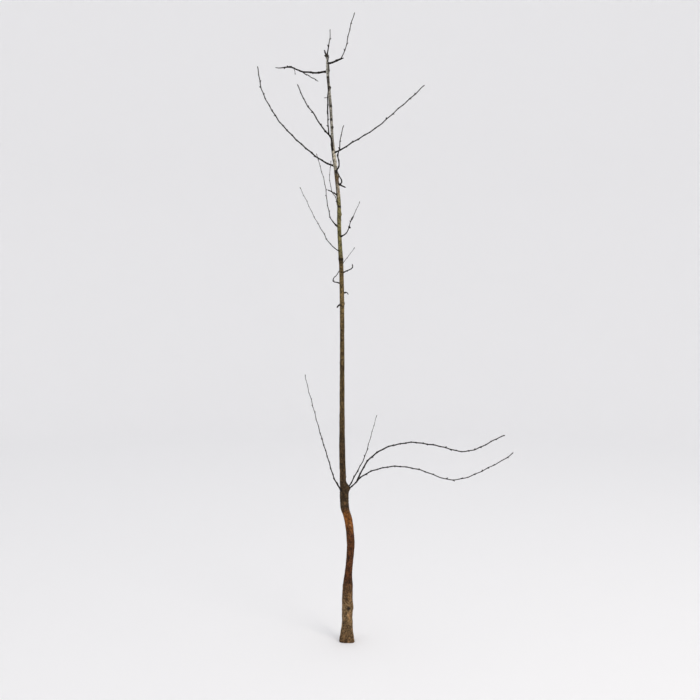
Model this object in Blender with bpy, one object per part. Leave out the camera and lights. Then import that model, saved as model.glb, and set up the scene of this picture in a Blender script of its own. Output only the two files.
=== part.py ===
"""A young wild pear tree, bare in winter.

A slim trunk leans a little to the left as it climbs and ends in a pruned knuckle. Side
boughs leave it all round, four of them together in a low whorl, and each ends in the
twigs of its last season. Short thorny spurs sit straight on the trunk.

The origin is the middle of the flat cut at ground level. +X is right, +Y is back, +Z is up.
Lengths are in metres and angles in degrees.
"""

import math
import random
from collections import namedtuple

import bmesh
import bpy
from mathutils import Vector

# Sides of the faceted limbs, and the air left between a limb and what carries it
TRUNK_SIDES = 14
BOUGH_SIDES = 7
TWIG_SIDES = 6
GAP = 0.0003

# The rule that every shoot grows by: a bud at each node, a turn further round each time,
# and a small kink to one side and then the other
INTERNODE = 0.022
INTERNODE_SPREAD = 0.15
FIRST_NODE = 0.030
CLEAR_OF_START = 0.006
CLEAR_OF_END = 0.010
CLEAR_OF_SIDE_TWIG = 0.008
BUD_TURN = 144.0
KINK = 4.5
TAPER = 1.5
BLUNT_TAPER = 0.5

# A bud, and the tip bud, whose shoulder stands at a share of its length
BUD_FOOT = 0.0026
BUD_LENGTH = 0.0042
BUD_LEAN = 0.8
TIP_BUD_LENGTH = 0.0060
TIP_BUD_SWELL = 1.25
TIP_BUD_SHOULDER = 0.35

# The collar where a limb leaves its carrier, the step of a centre line, and ring spacings
COLLAR_SWELL = 0.45
COLLAR_REACH = 0.007
PATH_STEP = 0.002
TRUNK_RING_SPACING = 0.055
CLOSEST_RINGS = 0.0022
SIDE_TWIG_STEP = 0.018
SIDE_TWIG_TAPER = 0.3
SHARP_EDGE = 50.0

# The trunk at the heights where its lean or its taper changes
Station = namedtuple("Station", "height right back width")
TRUNK = (
    Station(0.000, 0.0000, 0.000, 0.0310),
    Station(0.110, -0.0022, 0.000, 0.0330),
    Station(0.165, -0.0010, 0.001, 0.0318),
    Station(0.205, 0.0008, 0.002, 0.0244),
    Station(0.250, 0.0052, 0.003, 0.0226),
    Station(0.300, 0.0086, 0.003, 0.0242),
    Station(0.345, 0.0060, 0.003, 0.0246),
    Station(0.385, 0.0002, 0.003, 0.0252),
    Station(0.415, -0.0092, 0.004, 0.0262),
    Station(0.440, -0.0114, 0.004, 0.0268),
    Station(0.484, -0.0113, 0.005, 0.0262),
    Station(0.498, -0.0150, 0.005, 0.0208),
    Station(0.530, -0.0160, 0.005, 0.0194),
    Station(0.600, -0.0176, 0.004, 0.0182),
    Station(0.700, -0.0179, 0.003, 0.0158),
    Station(0.900, -0.0175, -0.002, 0.0138),
    Station(1.050, -0.0179, -0.006, 0.0136),
    Station(1.165, -0.0204, -0.008, 0.0130),
    Station(1.205, -0.0230, -0.008, 0.0129),
    Station(1.280, -0.0262, -0.008, 0.0120),
    Station(1.340, -0.0266, -0.009, 0.0116),
    Station(1.420, -0.0337, -0.009, 0.0112),
    Station(1.500, -0.0437, -0.008, 0.0116),
    Station(1.528, -0.0465, -0.008, 0.0100),
    Station(1.560, -0.0477, -0.007, 0.0082),
    Station(1.640, -0.0524, -0.005, 0.0088),
    Station(1.715, -0.0592, -0.003, 0.0084),
    Station(1.745, -0.0598, -0.003, 0.0098),
    Station(1.768, -0.0620, -0.002, 0.0060),
    Station(1.784, -0.0627, -0.002, 0.0066),
)
TRUNK_TOP = TRUNK[-1].height

# Swellings of the trunk, which fade out by "tall" above and below their middle and by "wide"
# degrees round the trunk. A heading is seen from above: 0 right, 90 back, 180 left, 270 front.
Bump = namedtuple("Bump", "height heading tall wide rise")
RING = 360.0
BUMP_RINGS = (-1.0, -0.5, 0.0, 0.5, 1.0)
BUMPS = (
    Bump(0.000, 200.0, 0.062, 55.0, 0.0110),
    Bump(0.000, 320.0, 0.045, 50.0, 0.0055),
    Bump(0.000, 80.0, 0.050, 60.0, 0.0065),
    Bump(0.000, 0.0, 0.030, RING, 0.0020),
    Bump(0.108, 335.0, 0.022, 50.0, 0.0028),
    Bump(0.478, 0.0, 0.011, 65.0, 0.0048),
    Bump(1.043, 0.0, 0.008, 45.0, 0.0012),
    Bump(1.178, 0.0, 0.007, RING, 0.0006),
    Bump(1.312, 0.0, 0.007, 45.0, 0.0014),
    Bump(1.421, 340.0, 0.007, 50.0, 0.0020),
    Bump(1.684, 350.0, 0.007, 45.0, 0.0017),
    Bump(1.779, 0.0, 0.0055, RING, 0.0015),
    Bump(1.779, 190.0, 0.0060, 80.0, 0.0024),
)

# A limb: what carries it, where its foot is (a height on the trunk, or a distance along
# another limb), its length, and the ways it points at even steps from foot to tip. "front"
# is the way seen from the front: 0 right, 90 straight up, 180 left. "back" is how far it
# then leans away from the front, negative towards it. The bough stops at the fraction
# "twigs_from" and last season's twigs grow on from there: 0 is a limb all of twigs, and 1
# one without.
Limb = namedtuple("Limb", "name carrier foot length front back foot_width tip_width twigs_from")
LIMBS = (
    Limb("base_left", "trunk", 0.460, 0.433, (133, 115, 103, 105, 105, 104, 103, 105, 99),
         (-35, -10), 0.0046, 0.0015, 0.5),
    Limb("base_back", "trunk", 0.462, 0.304, (51, 57, 56, 72, 72, 73), (50, 25),
         0.0048, 0.0014, 0.5),
    Limb("base_lower", "trunk", 0.467, 0.596,
         (37, 53, 37, 24, 18, 2, -5, -17, -15, 12, 28, 32, 32, 44), (-10, -38, -32, -22, -15),
         0.0043, 0.0024, 0.6),
    Limb("base_upper", "base_lower", 0.052, 0.606,
         (72, 62, 37, 21, 5, 3, -14, -12, -19, -19, 4, 21, 27, 16), (15, 35, 28, 20, 15),
         0.0047, 0.0034, 0.6),
    Limb("left_low", "trunk", 1.199, 0.273, (159, 138, 117, 121, 119, 115, 116, 117), (40, 15),
         0.0030, 0.0013, 0.45),
    Limb("left_middle", "trunk", 1.262, 0.313,
         (103, 143, 126, 102, 102, 101, 93, 99, 101, 107, 106, 104, 113), (45, 20),
         0.0034, 0.0016, 0.45),
    Limb("right_middle", "trunk", 1.243, 0.142, (19, 34, 68, 72, 67, 61, 64, 72), (-45, -25),
         0.0041, 0.0013, 0.4),
    Limb("right_upright", "trunk", 1.430, 0.164, (111, 47, 97, 102, 71, 83, 83, 75, 68),
         (-50, -25), 0.0048, 0.0023, 0.5),
    Limb("left_long", "trunk", 1.454, 0.450,
         (172, 148, 138, 138, 133, 132, 122, 120, 113, 98, 102), (25, 15), 0.0050, 0.0029, 0.55),
    Limb("right_long", "trunk", 1.492, 0.346, (21, 30, 26, 26, 30, 38, 39, 37, 40, 42), (-35, -20),
         0.0043, 0.0027, 0.55),
    Limb("left_fork", "trunk", 1.494, 0.227, (113, 95, 132, 134, 118, 131, 125, 111, 119),
         (-30, -15), 0.0056, 0.0027, 0.55),
    Limb("top_left", "trunk", 1.731, 0.168, (171, 192, 182, 165, 174, 156, 145, 188, 178, 172),
         (20, 15), 0.0057, 0.0021, 0.47),
    Limb("top_right", "trunk", 1.756, 0.051, (2, 27, 19), (-25, -10), 0.0050, 0.0056, 1.0),
    Limb("left_thin", "trunk", 1.326, 0.182, (127, 100, 124, 100, 97, 80, 92), (40, 20),
         0.0022, 0.0014, 0.0),
    Limb("right_thin", "trunk", 1.152, 0.096, (75, 61, 48, 63), (50, 35), 0.0018, 0.0012, 0.0),
    Limb("fork_upright", "left_fork", 0.058, 0.165, (93, 102, 87, 92, 86, 88, 90), (-40, -20),
         0.0034, 0.0030, 0.0),
    Limb("top_right_upright", "top_right", 0.043, 0.149, (63, 78, 79, 76, 71), (12, 12),
         0.0028, 0.0024, 0.0),
    Limb("leader", "trunk", 1.778, 0.074, (81, 86, 82, 89), (-10, 5), 0.0040, 0.0022, 0.0),
)

# Short thorny spurs that leave the trunk
SPURS = (
    Limb("top_stub", "trunk", 1.776, 0.022, (116, 113), (20, 20), 0.0038, 0.0034, 1.0),
    Limb("top_spur", "trunk", 1.758, 0.018, (75, 85), (-35, -30), 0.0028, 0.0020, 1.0),
    Limb("left_spur_upper", "trunk", 1.361, 0.036, (115, 156, 154, 164), (-15, -10),
         0.0046, 0.0030, 1.0),
    Limb("right_spur_upper", "trunk", 1.401, 0.026, (-20, -23), (-30, -20), 0.0044, 0.0036, 1.0),
    Limb("right_spur_hook", "trunk", 1.397, 0.046, (34, 33, 104, 132, 111), (35, 10),
         0.0040, 0.0033, 1.0),
    Limb("right_spur_middle", "trunk", 1.133, 0.049, (38, 33, 25, 36, 107), (30, 20),
         0.0038, 0.0029, 1.0),
    Limb("left_spur_hook", "trunk", 1.101, 0.074, (149, 167, 180, 81, 40, 56, 50), (30, 20),
         0.0040, 0.0022, 1.0),
    Limb("right_spur_lower", "trunk", 1.071, 0.021, (38, 34, -50), (-20, -20),
         0.0046, 0.0024, 1.0),
    Limb("left_spur_lower", "trunk", 1.042, 0.018, (205, 205, 246), (-30, -30),
         0.0038, 0.0038, 1.0),
)

# Limbs that were cut short, and end flat
PRUNED = ("top_right", "top_stub")

# Limbs that stay thick nearly to their tip
BLUNT = ("top_left",)

# Twigs that branch from the twigs of a limb: the distance along it where they start
SideTwig = namedtuple("SideTwig", "limb start length front back width")
SIDE_TWIGS = (
    SideTwig("top_left", 0.090, 0.084, -17.0, 52.0, 0.0022),
    SideTwig("top_left", 0.112, 0.016, -78.0, 35.0, 0.0014),
    SideTwig("fork_upright", 0.115, 0.006, 178.0, 15.0, 0.0014),
)

# Name, base colour, roughness
TRUNK_BARK = ("trunk_bark", (0.115, 0.088, 0.048), 0.85)
BOUGH_BARK = ("bough_bark", (0.045, 0.036, 0.028), 0.75)
TWIG_BARK = ("twig_bark", (0.040, 0.028, 0.022), 0.60)


def along(values, fraction):
    """Read a list of values that stand at even steps, at a fraction from 0 to 1."""
    place = min(max(fraction, 0.0), 1.0) * (len(values) - 1)
    first = min(int(place), len(values) - 2)
    return values[first] + (values[first + 1] - values[first]) * (place - first)


def station_slope(index, field):
    """Return how fast one size of the trunk changes with height at a station."""
    low, high = TRUNK[max(index - 1, 0)], TRUNK[min(index + 1, len(TRUNK) - 1)]
    return (getattr(high, field) - getattr(low, field)) / (high.height - low.height)


def trunk_at(height):
    """Return the trunk's centre and its radius, before any swelling, at a height."""
    height = min(max(height, 0.0), TRUNK_TOP)
    upper = next(i for i in range(1, len(TRUNK)) if height <= TRUNK[i].height)
    low, high = TRUNK[upper - 1], TRUNK[upper]
    span = high.height - low.height
    share = (height - low.height) / span
    sizes = {}
    for field in ("right", "back", "width"):
        leaving = station_slope(upper - 1, field) * span
        arriving = station_slope(upper, field) * span
        start, end = getattr(low, field), getattr(high, field)
        bend = (share - 1) * leaving + share * arriving
        even = start * (1 + 2 * share) * (1 - share) ** 2 + end * share ** 2 * (3 - 2 * share)
        sizes[field] = even + share * (share - 1) * bend
    return Vector((sizes["right"], sizes["back"], height)), sizes["width"] / 2


def trunk_swelling(height, heading):
    """Return how far the trunk's swellings lift its skin at a height and heading."""
    lift = 0.0
    for bump in BUMPS:
        up = (height - bump.height) / bump.tall
        turn = (heading - bump.heading + 180.0) % 360.0 - 180.0
        round_it = 0.0 if bump.wide == RING else turn / bump.wide
        lift += bump.rise * math.exp(-2.0 * (up * up + round_it * round_it))
    return lift


def limb_direction(limb, distance):
    """Return the way a limb points, with the small kink it makes at every node."""
    fraction = distance / limb.length
    side = 1 if int(max(distance - FIRST_NODE, 0.0) / INTERNODE) % 2 else -1
    front = math.radians(along(limb.front, fraction) + side * KINK)
    back = math.radians(along(limb.back, fraction))
    level = math.cos(back)
    return Vector((math.cos(front) * level, math.sin(back), math.sin(front) * level))


def limb_foot(limb):
    """Return the point on its carrier's centre line where a limb starts."""
    if limb.carrier == "trunk":
        return trunk_at(limb.foot)[0]
    carrier = next(other for other in LIMBS if other.name == limb.carrier)
    return limb_point(carrier, limb.foot)


def limb_point(limb, distance):
    """Walk from a limb's foot and return the point at a distance along it."""
    point = limb_foot(limb)
    steps = max(1, round(distance / PATH_STEP))
    step = distance / steps
    for count in range(steps):
        point = point + limb_direction(limb, (count + 0.5) * step) * step
    return point


def limb_radius(limb, distance):
    """Return a limb's radius: it tapers to its tip, and has a collar at its foot."""
    left = max(1.0 - distance / limb.length, 0.0)
    taper = BLUNT_TAPER if limb.name in BLUNT else TAPER
    width = limb.tip_width + (limb.foot_width - limb.tip_width) * left ** taper
    buried = trunk_at(limb.foot)[1] if limb.carrier == "trunk" else 0.0
    outside = max(distance - buried, 0.0)
    return width / 2 * (1.0 + COLLAR_SWELL * math.exp(-outside / COLLAR_REACH))


def node_distances(limb):
    """Return where the buds sit along a limb, with a seeded unevenness."""
    chance = random.Random(limb.name)
    nodes = []
    distance = FIRST_NODE
    while distance < limb.length - INTERNODE / 2:
        nodes.append(distance + chance.uniform(-1, 1) * INTERNODE_SPREAD * INTERNODE)
        distance += INTERNODE
    return nodes


def ring_points(centre, direction, radius, sides):
    """Return a ring of points across a direction, turned the same way all along a limb."""
    across = direction.cross(Vector((0.0, 1.0, 0.0))).normalized()
    over = direction.cross(across)
    points = []
    for side in range(sides):
        turn = 2 * math.pi * side / sides
        points.append(centre + (across * math.cos(turn) + over * math.sin(turn)) * radius)
    return points


def skin(rings):
    """Join rings of points into a closed tube and return it with its side faces."""
    mesh = bmesh.new()
    rows = [[mesh.verts.new(point) for point in ring] for ring in rings]
    sides = len(rows[0])
    faces = []
    for low, high in zip(rows, rows[1:]):
        band = []
        for side in range(sides):
            after = (side + 1) % sides
            band.append(mesh.faces.new((low[side], low[after], high[after], high[side])))
        faces.append(band)
    mesh.faces.new(list(reversed(rows[0])))
    end = mesh.faces.new(rows[-1])
    bmesh.ops.recalc_face_normals(mesh, faces=mesh.faces)
    mesh.normal_update()
    return mesh, faces, end


def point_out(mesh, face, way):
    """Draw a face out to a point, as a bud is."""
    tip = face.calc_center_median() + way
    poked = bmesh.ops.poke(mesh, faces=[face])
    poked["verts"][0].co = tip


def grow_from_face(mesh, face, points, widths):
    """Grow a four-sided twig out of a face, through the points, and end it in a bud."""
    for point, width in zip(points, widths):
        face = bmesh.ops.extrude_discrete_faces(mesh, faces=[face])["faces"][0]
        centre = face.calc_center_median()
        turn = face.normal.rotation_difference(point - centre)
        for vert in face.verts:
            offset = (vert.co - centre).normalized() * width / 2
            offset.rotate(turn)
            vert.co = point + offset
        face.normal_update()
    point_out(mesh, face, face.normal * TIP_BUD_LENGTH)


def face_towards(band, way):
    """Return the face of a band that looks most nearly one way."""
    return max(band, key=lambda face: face.normal.dot(way))


def add_bud(mesh, limb, distance, band, turn):
    """Draw out a bud at a node of a limb."""
    direction = limb_direction(limb, distance)
    across = direction.cross(Vector((0.0, 1.0, 0.0))).normalized()
    out = across * math.cos(turn) + direction.cross(across) * math.sin(turn)
    way = (out + direction * BUD_LEAN).normalized()
    point_out(mesh, face_towards(band, out), way * BUD_LENGTH)


def add_side_twig(mesh, twig, band):
    """Grow a twig that branches from a limb's last season."""
    front, back = math.radians(twig.front), math.radians(twig.back)
    level = math.cos(back)
    way = Vector((math.cos(front) * level, math.sin(back), math.sin(front) * level))
    face = face_towards(band, way)
    start = face.calc_center_median()
    steps = max(2, round(twig.length / SIDE_TWIG_STEP))
    shares = [(step + 1) / steps for step in range(steps)]
    points = [start + way * twig.length * share for share in shares]
    widths = [twig.width * (1.0 + SIDE_TWIG_TAPER * (1.0 - share)) for share in shares]
    grow_from_face(mesh, face, points, widths)


def limb_tube(limb, distances, sides):
    """Build a closed tube along a limb with a ring at each distance."""
    rings = []
    for distance in distances:
        centre = limb_point(limb, distance)
        direction = limb_direction(limb, distance)
        rings.append(ring_points(centre, direction, limb_radius(limb, distance), sides))
    return skin(rings)


def bough_mesh(limb, end):
    """Build a limb's plain older wood, from its foot to a distance along it."""
    nodes = [node for node in node_distances(limb) if CLEAR_OF_START < node < end - CLEAR_OF_END]
    mesh, _, tip = limb_tube(limb, [0.0, *nodes, end], BOUGH_SIDES)
    return mesh, tip


def twigs_mesh(limb, start):
    """Build a limb's last season, from a distance along it to its tip, with its buds."""
    side_twigs = {twig.start: twig for twig in SIDE_TWIGS if twig.limb == limb.name}
    nodes = list(side_twigs)
    for node in node_distances(limb):
        inside = start + CLEAR_OF_START < node < limb.length - CLEAR_OF_END
        if inside and all(abs(node - place) > CLEAR_OF_SIDE_TWIG for place in side_twigs):
            nodes.append(node)
    nodes.sort()
    distances = [start]
    for node in nodes:
        distances += [node - BUD_FOOT / 2, node + BUD_FOOT / 2]
    distances.append(limb.length)
    mesh, bands, tip = limb_tube(limb, distances, TWIG_SIDES)
    turn = 0.0
    for node, band in zip(nodes, bands[1::2]):
        if node in side_twigs:
            add_side_twig(mesh, side_twigs[node], band)
        else:
            add_bud(mesh, limb, node, band, math.radians(turn))
            turn += BUD_TURN
    return mesh, tip


def finish_tip(mesh, tip, limb):
    """End a limb in its tip bud: a small swelling drawn out to a point."""
    swell = bmesh.ops.extrude_discrete_faces(mesh, faces=[tip])["faces"][0]
    centre = swell.calc_center_median()
    bud = limb_direction(limb, limb.length) * TIP_BUD_LENGTH
    for vert in swell.verts:
        vert.co = centre + (vert.co - centre) * TIP_BUD_SWELL + bud * TIP_BUD_SHOULDER
    point_out(mesh, swell, bud * (1.0 - TIP_BUD_SHOULDER))


def trunk_heights():
    """Return the heights of the trunk's rings: even ones, its stations, and its swellings."""
    heights = {0.0, TRUNK_TOP}
    heights.update(station.height for station in TRUNK)
    for bump in BUMPS:
        heights.update(bump.height + part * bump.tall for part in BUMP_RINGS)
    count = round(TRUNK_TOP / TRUNK_RING_SPACING)
    heights.update(TRUNK_TOP * step / count for step in range(count))
    kept = []
    for height in sorted(heights):
        if 0.0 <= height <= TRUNK_TOP and (not kept or height - kept[-1] > CLOSEST_RINGS):
            kept.append(height)
    kept[-1] = TRUNK_TOP
    return kept


def trunk_mesh(clearance):
    """Build the trunk, grown on every side by a clearance, with level rings."""
    rings = []
    heights = trunk_heights()
    if clearance:
        heights = [-clearance] + heights[1:-1] + [TRUNK_TOP + clearance]
    for height in heights:
        centre, radius = trunk_at(height)
        centre.z = height
        ring = []
        for side in range(TRUNK_SIDES):
            heading = 360.0 * side / TRUNK_SIDES
            reach = radius + trunk_swelling(height, heading) + clearance
            turn = math.radians(heading)
            ring.append(centre + Vector((math.cos(turn), math.sin(turn), 0.0)) * reach)
        rings.append(ring)
    return skin(rings)[0]


def make_material(finish):
    """Make the material of one kind of bark."""
    name, colour, roughness = finish
    material = bpy.data.materials.new(name)
    material.use_nodes = True
    shader = material.node_tree.nodes["Principled BSDF"]
    shader.inputs["Base Color"].default_value = (*colour, 1.0)
    shader.inputs["Roughness"].default_value = roughness
    shader.inputs["Metallic"].default_value = 0.0
    return material


def make_object(name, mesh, material=None):
    """Turn a mesh into a named object in the scene."""
    data = bpy.data.meshes.new(name)
    mesh.to_mesh(data)
    mesh.free()
    data.shade_smooth()
    data.set_sharp_from_angle(angle=math.radians(SHARP_EDGE))
    if material:
        data.materials.append(material)
    piece = bpy.data.objects.new(name, data)
    bpy.context.collection.objects.link(piece)
    return piece


def cut(piece, cutter):
    """Cut a piece clear of its carrier, and remove the cutter."""
    boolean = piece.modifiers.new("clear_of_carrier", "BOOLEAN")
    boolean.operation = "DIFFERENCE"
    boolean.solver = "EXACT"
    boolean.object = cutter
    bpy.context.view_layer.objects.active = piece
    bpy.ops.object.modifier_apply(modifier=boolean.name)
    bpy.data.objects.remove(cutter)


def carrier_cutter(limb):
    """Return the carrier's solid grown by the gap, to cut a limb's foot with."""
    if limb.carrier == "trunk":
        return make_object("cutter", trunk_mesh(GAP))
    carrier = next(other for other in LIMBS if other.name == limb.carrier)
    wider = carrier._replace(foot_width=carrier.foot_width + 2 * GAP,
                             tip_width=carrier.tip_width + 2 * GAP)
    return make_object("cutter", bough_mesh(wider, carrier.length)[0])


def build_limb(limb, materials):
    """Build a limb as a bough, as twigs, or as a bough with the twigs that grow on from it."""
    end_of_bough = limb.length * limb.twigs_from
    if limb.twigs_from > 0.0:
        name = limb.name if limb in SPURS else limb.name + "_bough"
        stop = end_of_bough if limb.twigs_from == 1.0 else end_of_bough - GAP / 2
        mesh, tip = bough_mesh(limb, stop)
        if limb.twigs_from == 1.0 and limb.name not in PRUNED:
            finish_tip(mesh, tip, limb)
        cut(make_object(name, mesh, materials["bough"]), carrier_cutter(limb))
    if limb.twigs_from < 1.0:
        start = end_of_bough + GAP / 2 if end_of_bough else 0.0
        mesh, tip = twigs_mesh(limb, start)
        finish_tip(mesh, tip, limb)
        twigs = make_object(limb.name + "_twigs", mesh, materials["twig"])
        if not end_of_bough:
            cut(twigs, carrier_cutter(limb))


def main():
    for piece in list(bpy.data.objects):
        bpy.data.objects.remove(piece)
    materials = {"bough": make_material(BOUGH_BARK), "twig": make_material(TWIG_BARK)}
    make_object("trunk", trunk_mesh(0.0), make_material(TRUNK_BARK))
    for limb in LIMBS + SPURS:
        build_limb(limb, materials)


main()
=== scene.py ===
"""A young wild pear tree, bare in winter, dressed for its studio picture.

The trunk, boughs, spurs and twigs follow the same tables and the same rule of growth as the
solids, and carry them on to bark, collars, leaf scars and scaled buds.

The origin is the middle of the flat cut at ground level. +X is right, +Y is back, +Z is up.
Lengths are in metres and angles in degrees. A heading round the trunk is seen from above: 0
right, 90 back, 180 left, 270 front. A heading round a limb is seen from its foot: 0 is its
left side in the front view, 90 its front, 180 its right side and 270 its back.
"""

import functools
import math
import random
from collections import namedtuple
from itertools import starmap

import bpy
import numpy as np
from bpy.props import FloatProperty, FloatVectorProperty, IntProperty, PointerProperty
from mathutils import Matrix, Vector, noise


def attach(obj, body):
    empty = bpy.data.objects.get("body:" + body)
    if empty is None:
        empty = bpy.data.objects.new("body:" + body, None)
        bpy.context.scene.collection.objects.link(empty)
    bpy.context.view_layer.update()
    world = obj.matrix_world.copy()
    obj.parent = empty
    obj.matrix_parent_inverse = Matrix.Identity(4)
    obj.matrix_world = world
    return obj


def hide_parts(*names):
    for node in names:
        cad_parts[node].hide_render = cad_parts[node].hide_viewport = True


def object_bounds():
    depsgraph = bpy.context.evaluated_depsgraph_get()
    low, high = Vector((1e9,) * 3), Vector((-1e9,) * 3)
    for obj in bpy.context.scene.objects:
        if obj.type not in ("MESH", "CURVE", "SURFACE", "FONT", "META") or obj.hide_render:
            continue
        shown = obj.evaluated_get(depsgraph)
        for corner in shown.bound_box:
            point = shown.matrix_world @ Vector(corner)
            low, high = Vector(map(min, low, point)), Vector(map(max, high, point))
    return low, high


bl_info = {
    "name": "Wild Pear Tree",
    "version": (1, 0, 0),
    "blender": (4, 5, 0),
    "location": "3D View > Sidebar > Tree",
    "description": "Dresses the solids of a young bare pear tree with bark, twigs and buds",
    "category": "Add Mesh",
}

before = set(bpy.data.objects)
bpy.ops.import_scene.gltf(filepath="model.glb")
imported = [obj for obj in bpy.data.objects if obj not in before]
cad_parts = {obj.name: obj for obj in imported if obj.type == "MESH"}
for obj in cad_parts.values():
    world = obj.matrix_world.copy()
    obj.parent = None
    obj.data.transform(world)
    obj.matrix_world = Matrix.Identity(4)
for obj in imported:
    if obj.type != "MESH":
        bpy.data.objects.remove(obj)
CAD_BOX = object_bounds()

# The rule that every shoot grows by
INTERNODE = 0.022
INTERNODE_SPREAD = 0.15
FIRST_NODE = 0.030
CLEAR_OF_START = 0.006
CLEAR_OF_END = 0.010
CLEAR_OF_SIDE_TWIG = 0.008
BUD_TURN = 144.0
KINK = 4.5
TAPER = 1.5
BLUNT_TAPER = 0.5
BUD_LEAN = 0.8
COLLAR_SWELL = 0.45
COLLAR_REACH = 0.007
TIP_BUD_LENGTH = 0.0060

# A twig thinner than this bears smaller buds, down to a share of the full size
FULL_BUD_RADIUS = 0.0014
LEAST_BUD = 0.55

# How deep wood is sunk: a bough or spur into the trunk, a limb that is young all the way into
# the trunk, and last season's wood into its bough
BOUGH_SUNK = 0.0045
TWIG_SUNK = 0.0035
SEASON_SUNK = 0.0016

# Half the gap that the solids leave between a bough and its twigs
HALF_GAP = 0.00015

# A mark less tall than FINE_MARK has closer rings at it: FINE_STEPS below it and as many above,
# FINE_STEP of the spacing apart. Rings closer than LEAST_GAP of the spacing are left out.
FINE_MARK = 0.001
FINE_STEPS = 6
FINE_STEP = 0.35
LEAST_GAP = 0.25

# Soft hollows and grain of the bark, as shares of the radius, and how many there are in a metre
BOUGH_ROUGH = (0.10, 0.05)
SPUR_ROUGH = (0.12, 0.06)
TWIG_ROUGH = (0.08, 0.04)
HOLLOWS_A_METRE = 85.0
GRAINS_A_METRE = 330.0

# The share of its size that the last ring of a limb keeps, so that its end is round, and how
# far out of the middle of a twig the foot of a bud is, as a share of the twig's radius
ROUND_END = 0.80
BUD_FOOT = 0.80

# How finely a centre line is walked, and how gently it turns at a node
WALK_STEP = 0.0005
KINK_REACH = 0.0020

# The trunk at the heights where its lean or its taper changes
Station = namedtuple("Station", "height right back width")
TRUNK = tuple(starmap(Station, (
    (0, 0, 0, 0.031), (0.11, -0.0022, 0, 0.033), (0.165, -0.001, 0.001, 0.0318),
    (0.205, 0.0008, 0.002, 0.0244), (0.25, 0.0052, 0.003, 0.0226), (0.3, 0.0086, 0.003, 0.0242),
    (0.345, 0.006, 0.003, 0.0246), (0.385, 0.0002, 0.003, 0.0252), (0.415, -0.0092, 0.004, 0.0262),
    (0.44, -0.0114, 0.004, 0.0268), (0.484, -0.0113, 0.005, 0.0262), (0.498, -0.015, 0.005, 0.0208),
    (0.53, -0.016, 0.005, 0.0194), (0.6, -0.0176, 0.004, 0.0182), (0.7, -0.0179, 0.003, 0.0158),
    (0.9, -0.0175, -0.002, 0.0138), (1.05, -0.0179, -0.006, 0.0136),
    (1.165, -0.0204, -0.008, 0.013), (1.205, -0.023, -0.008, 0.0129),
    (1.28, -0.0262, -0.008, 0.012), (1.34, -0.0266, -0.009, 0.0116),
    (1.42, -0.0337, -0.009, 0.0112), (1.5, -0.0437, -0.008, 0.0116), (1.528, -0.0465, -0.008, 0.01),
    (1.56, -0.0477, -0.007, 0.0082), (1.64, -0.0524, -0.005, 0.0088),
    (1.715, -0.0592, -0.003, 0.0084), (1.745, -0.0598, -0.003, 0.0098),
    (1.768, -0.062, -0.002, 0.006), (1.784, -0.0627, -0.002, 0.0066),
)))
TRUNK_TOP = TRUNK[-1].height

# A swelling, which fades out by "tall" along its carrier and by "wide" degrees round it, and
# is left off past FADED times "tall". A stain of 1 turns the bark there dark, and -1 lays it
# bare and pale. Stains are cut off at 1, so a knot with a higher one is dark right across.
# On the trunk the stain also carries painted shade and a painted shadow.
RING = 360.0
FADED = 2.2
Swelling = namedtuple("Swelling", "place heading tall wide rise stain", defaults=(0.0,))
TRUNK_SWELLINGS = tuple(starmap(Swelling, (
    (0, 200, 0.062, 55, 0.011), (0, 320, 0.045, 50, 0.0055), (0, 80, 0.05, 60, 0.0065),
    (0, 0, 0.03, RING, 0.002), (0.108, 335, 0.022, 50, 0.0028), (0.478, 0, 0.011, 65, 0.0048),
    (1.043, 0, 0.008, 45, 0.0012), (1.178, 0, 0.007, RING, 0.0006), (1.312, 0, 0.007, 45, 0.0014),
    (1.421, 340, 0.007, 50, 0.002), (1.684, 350, 0.007, 45, 0.0017),
    (1.779, 0, 0.0055, RING, 0.0015), (1.779, 190, 0.006, 80, 0.0024),
)))
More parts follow.
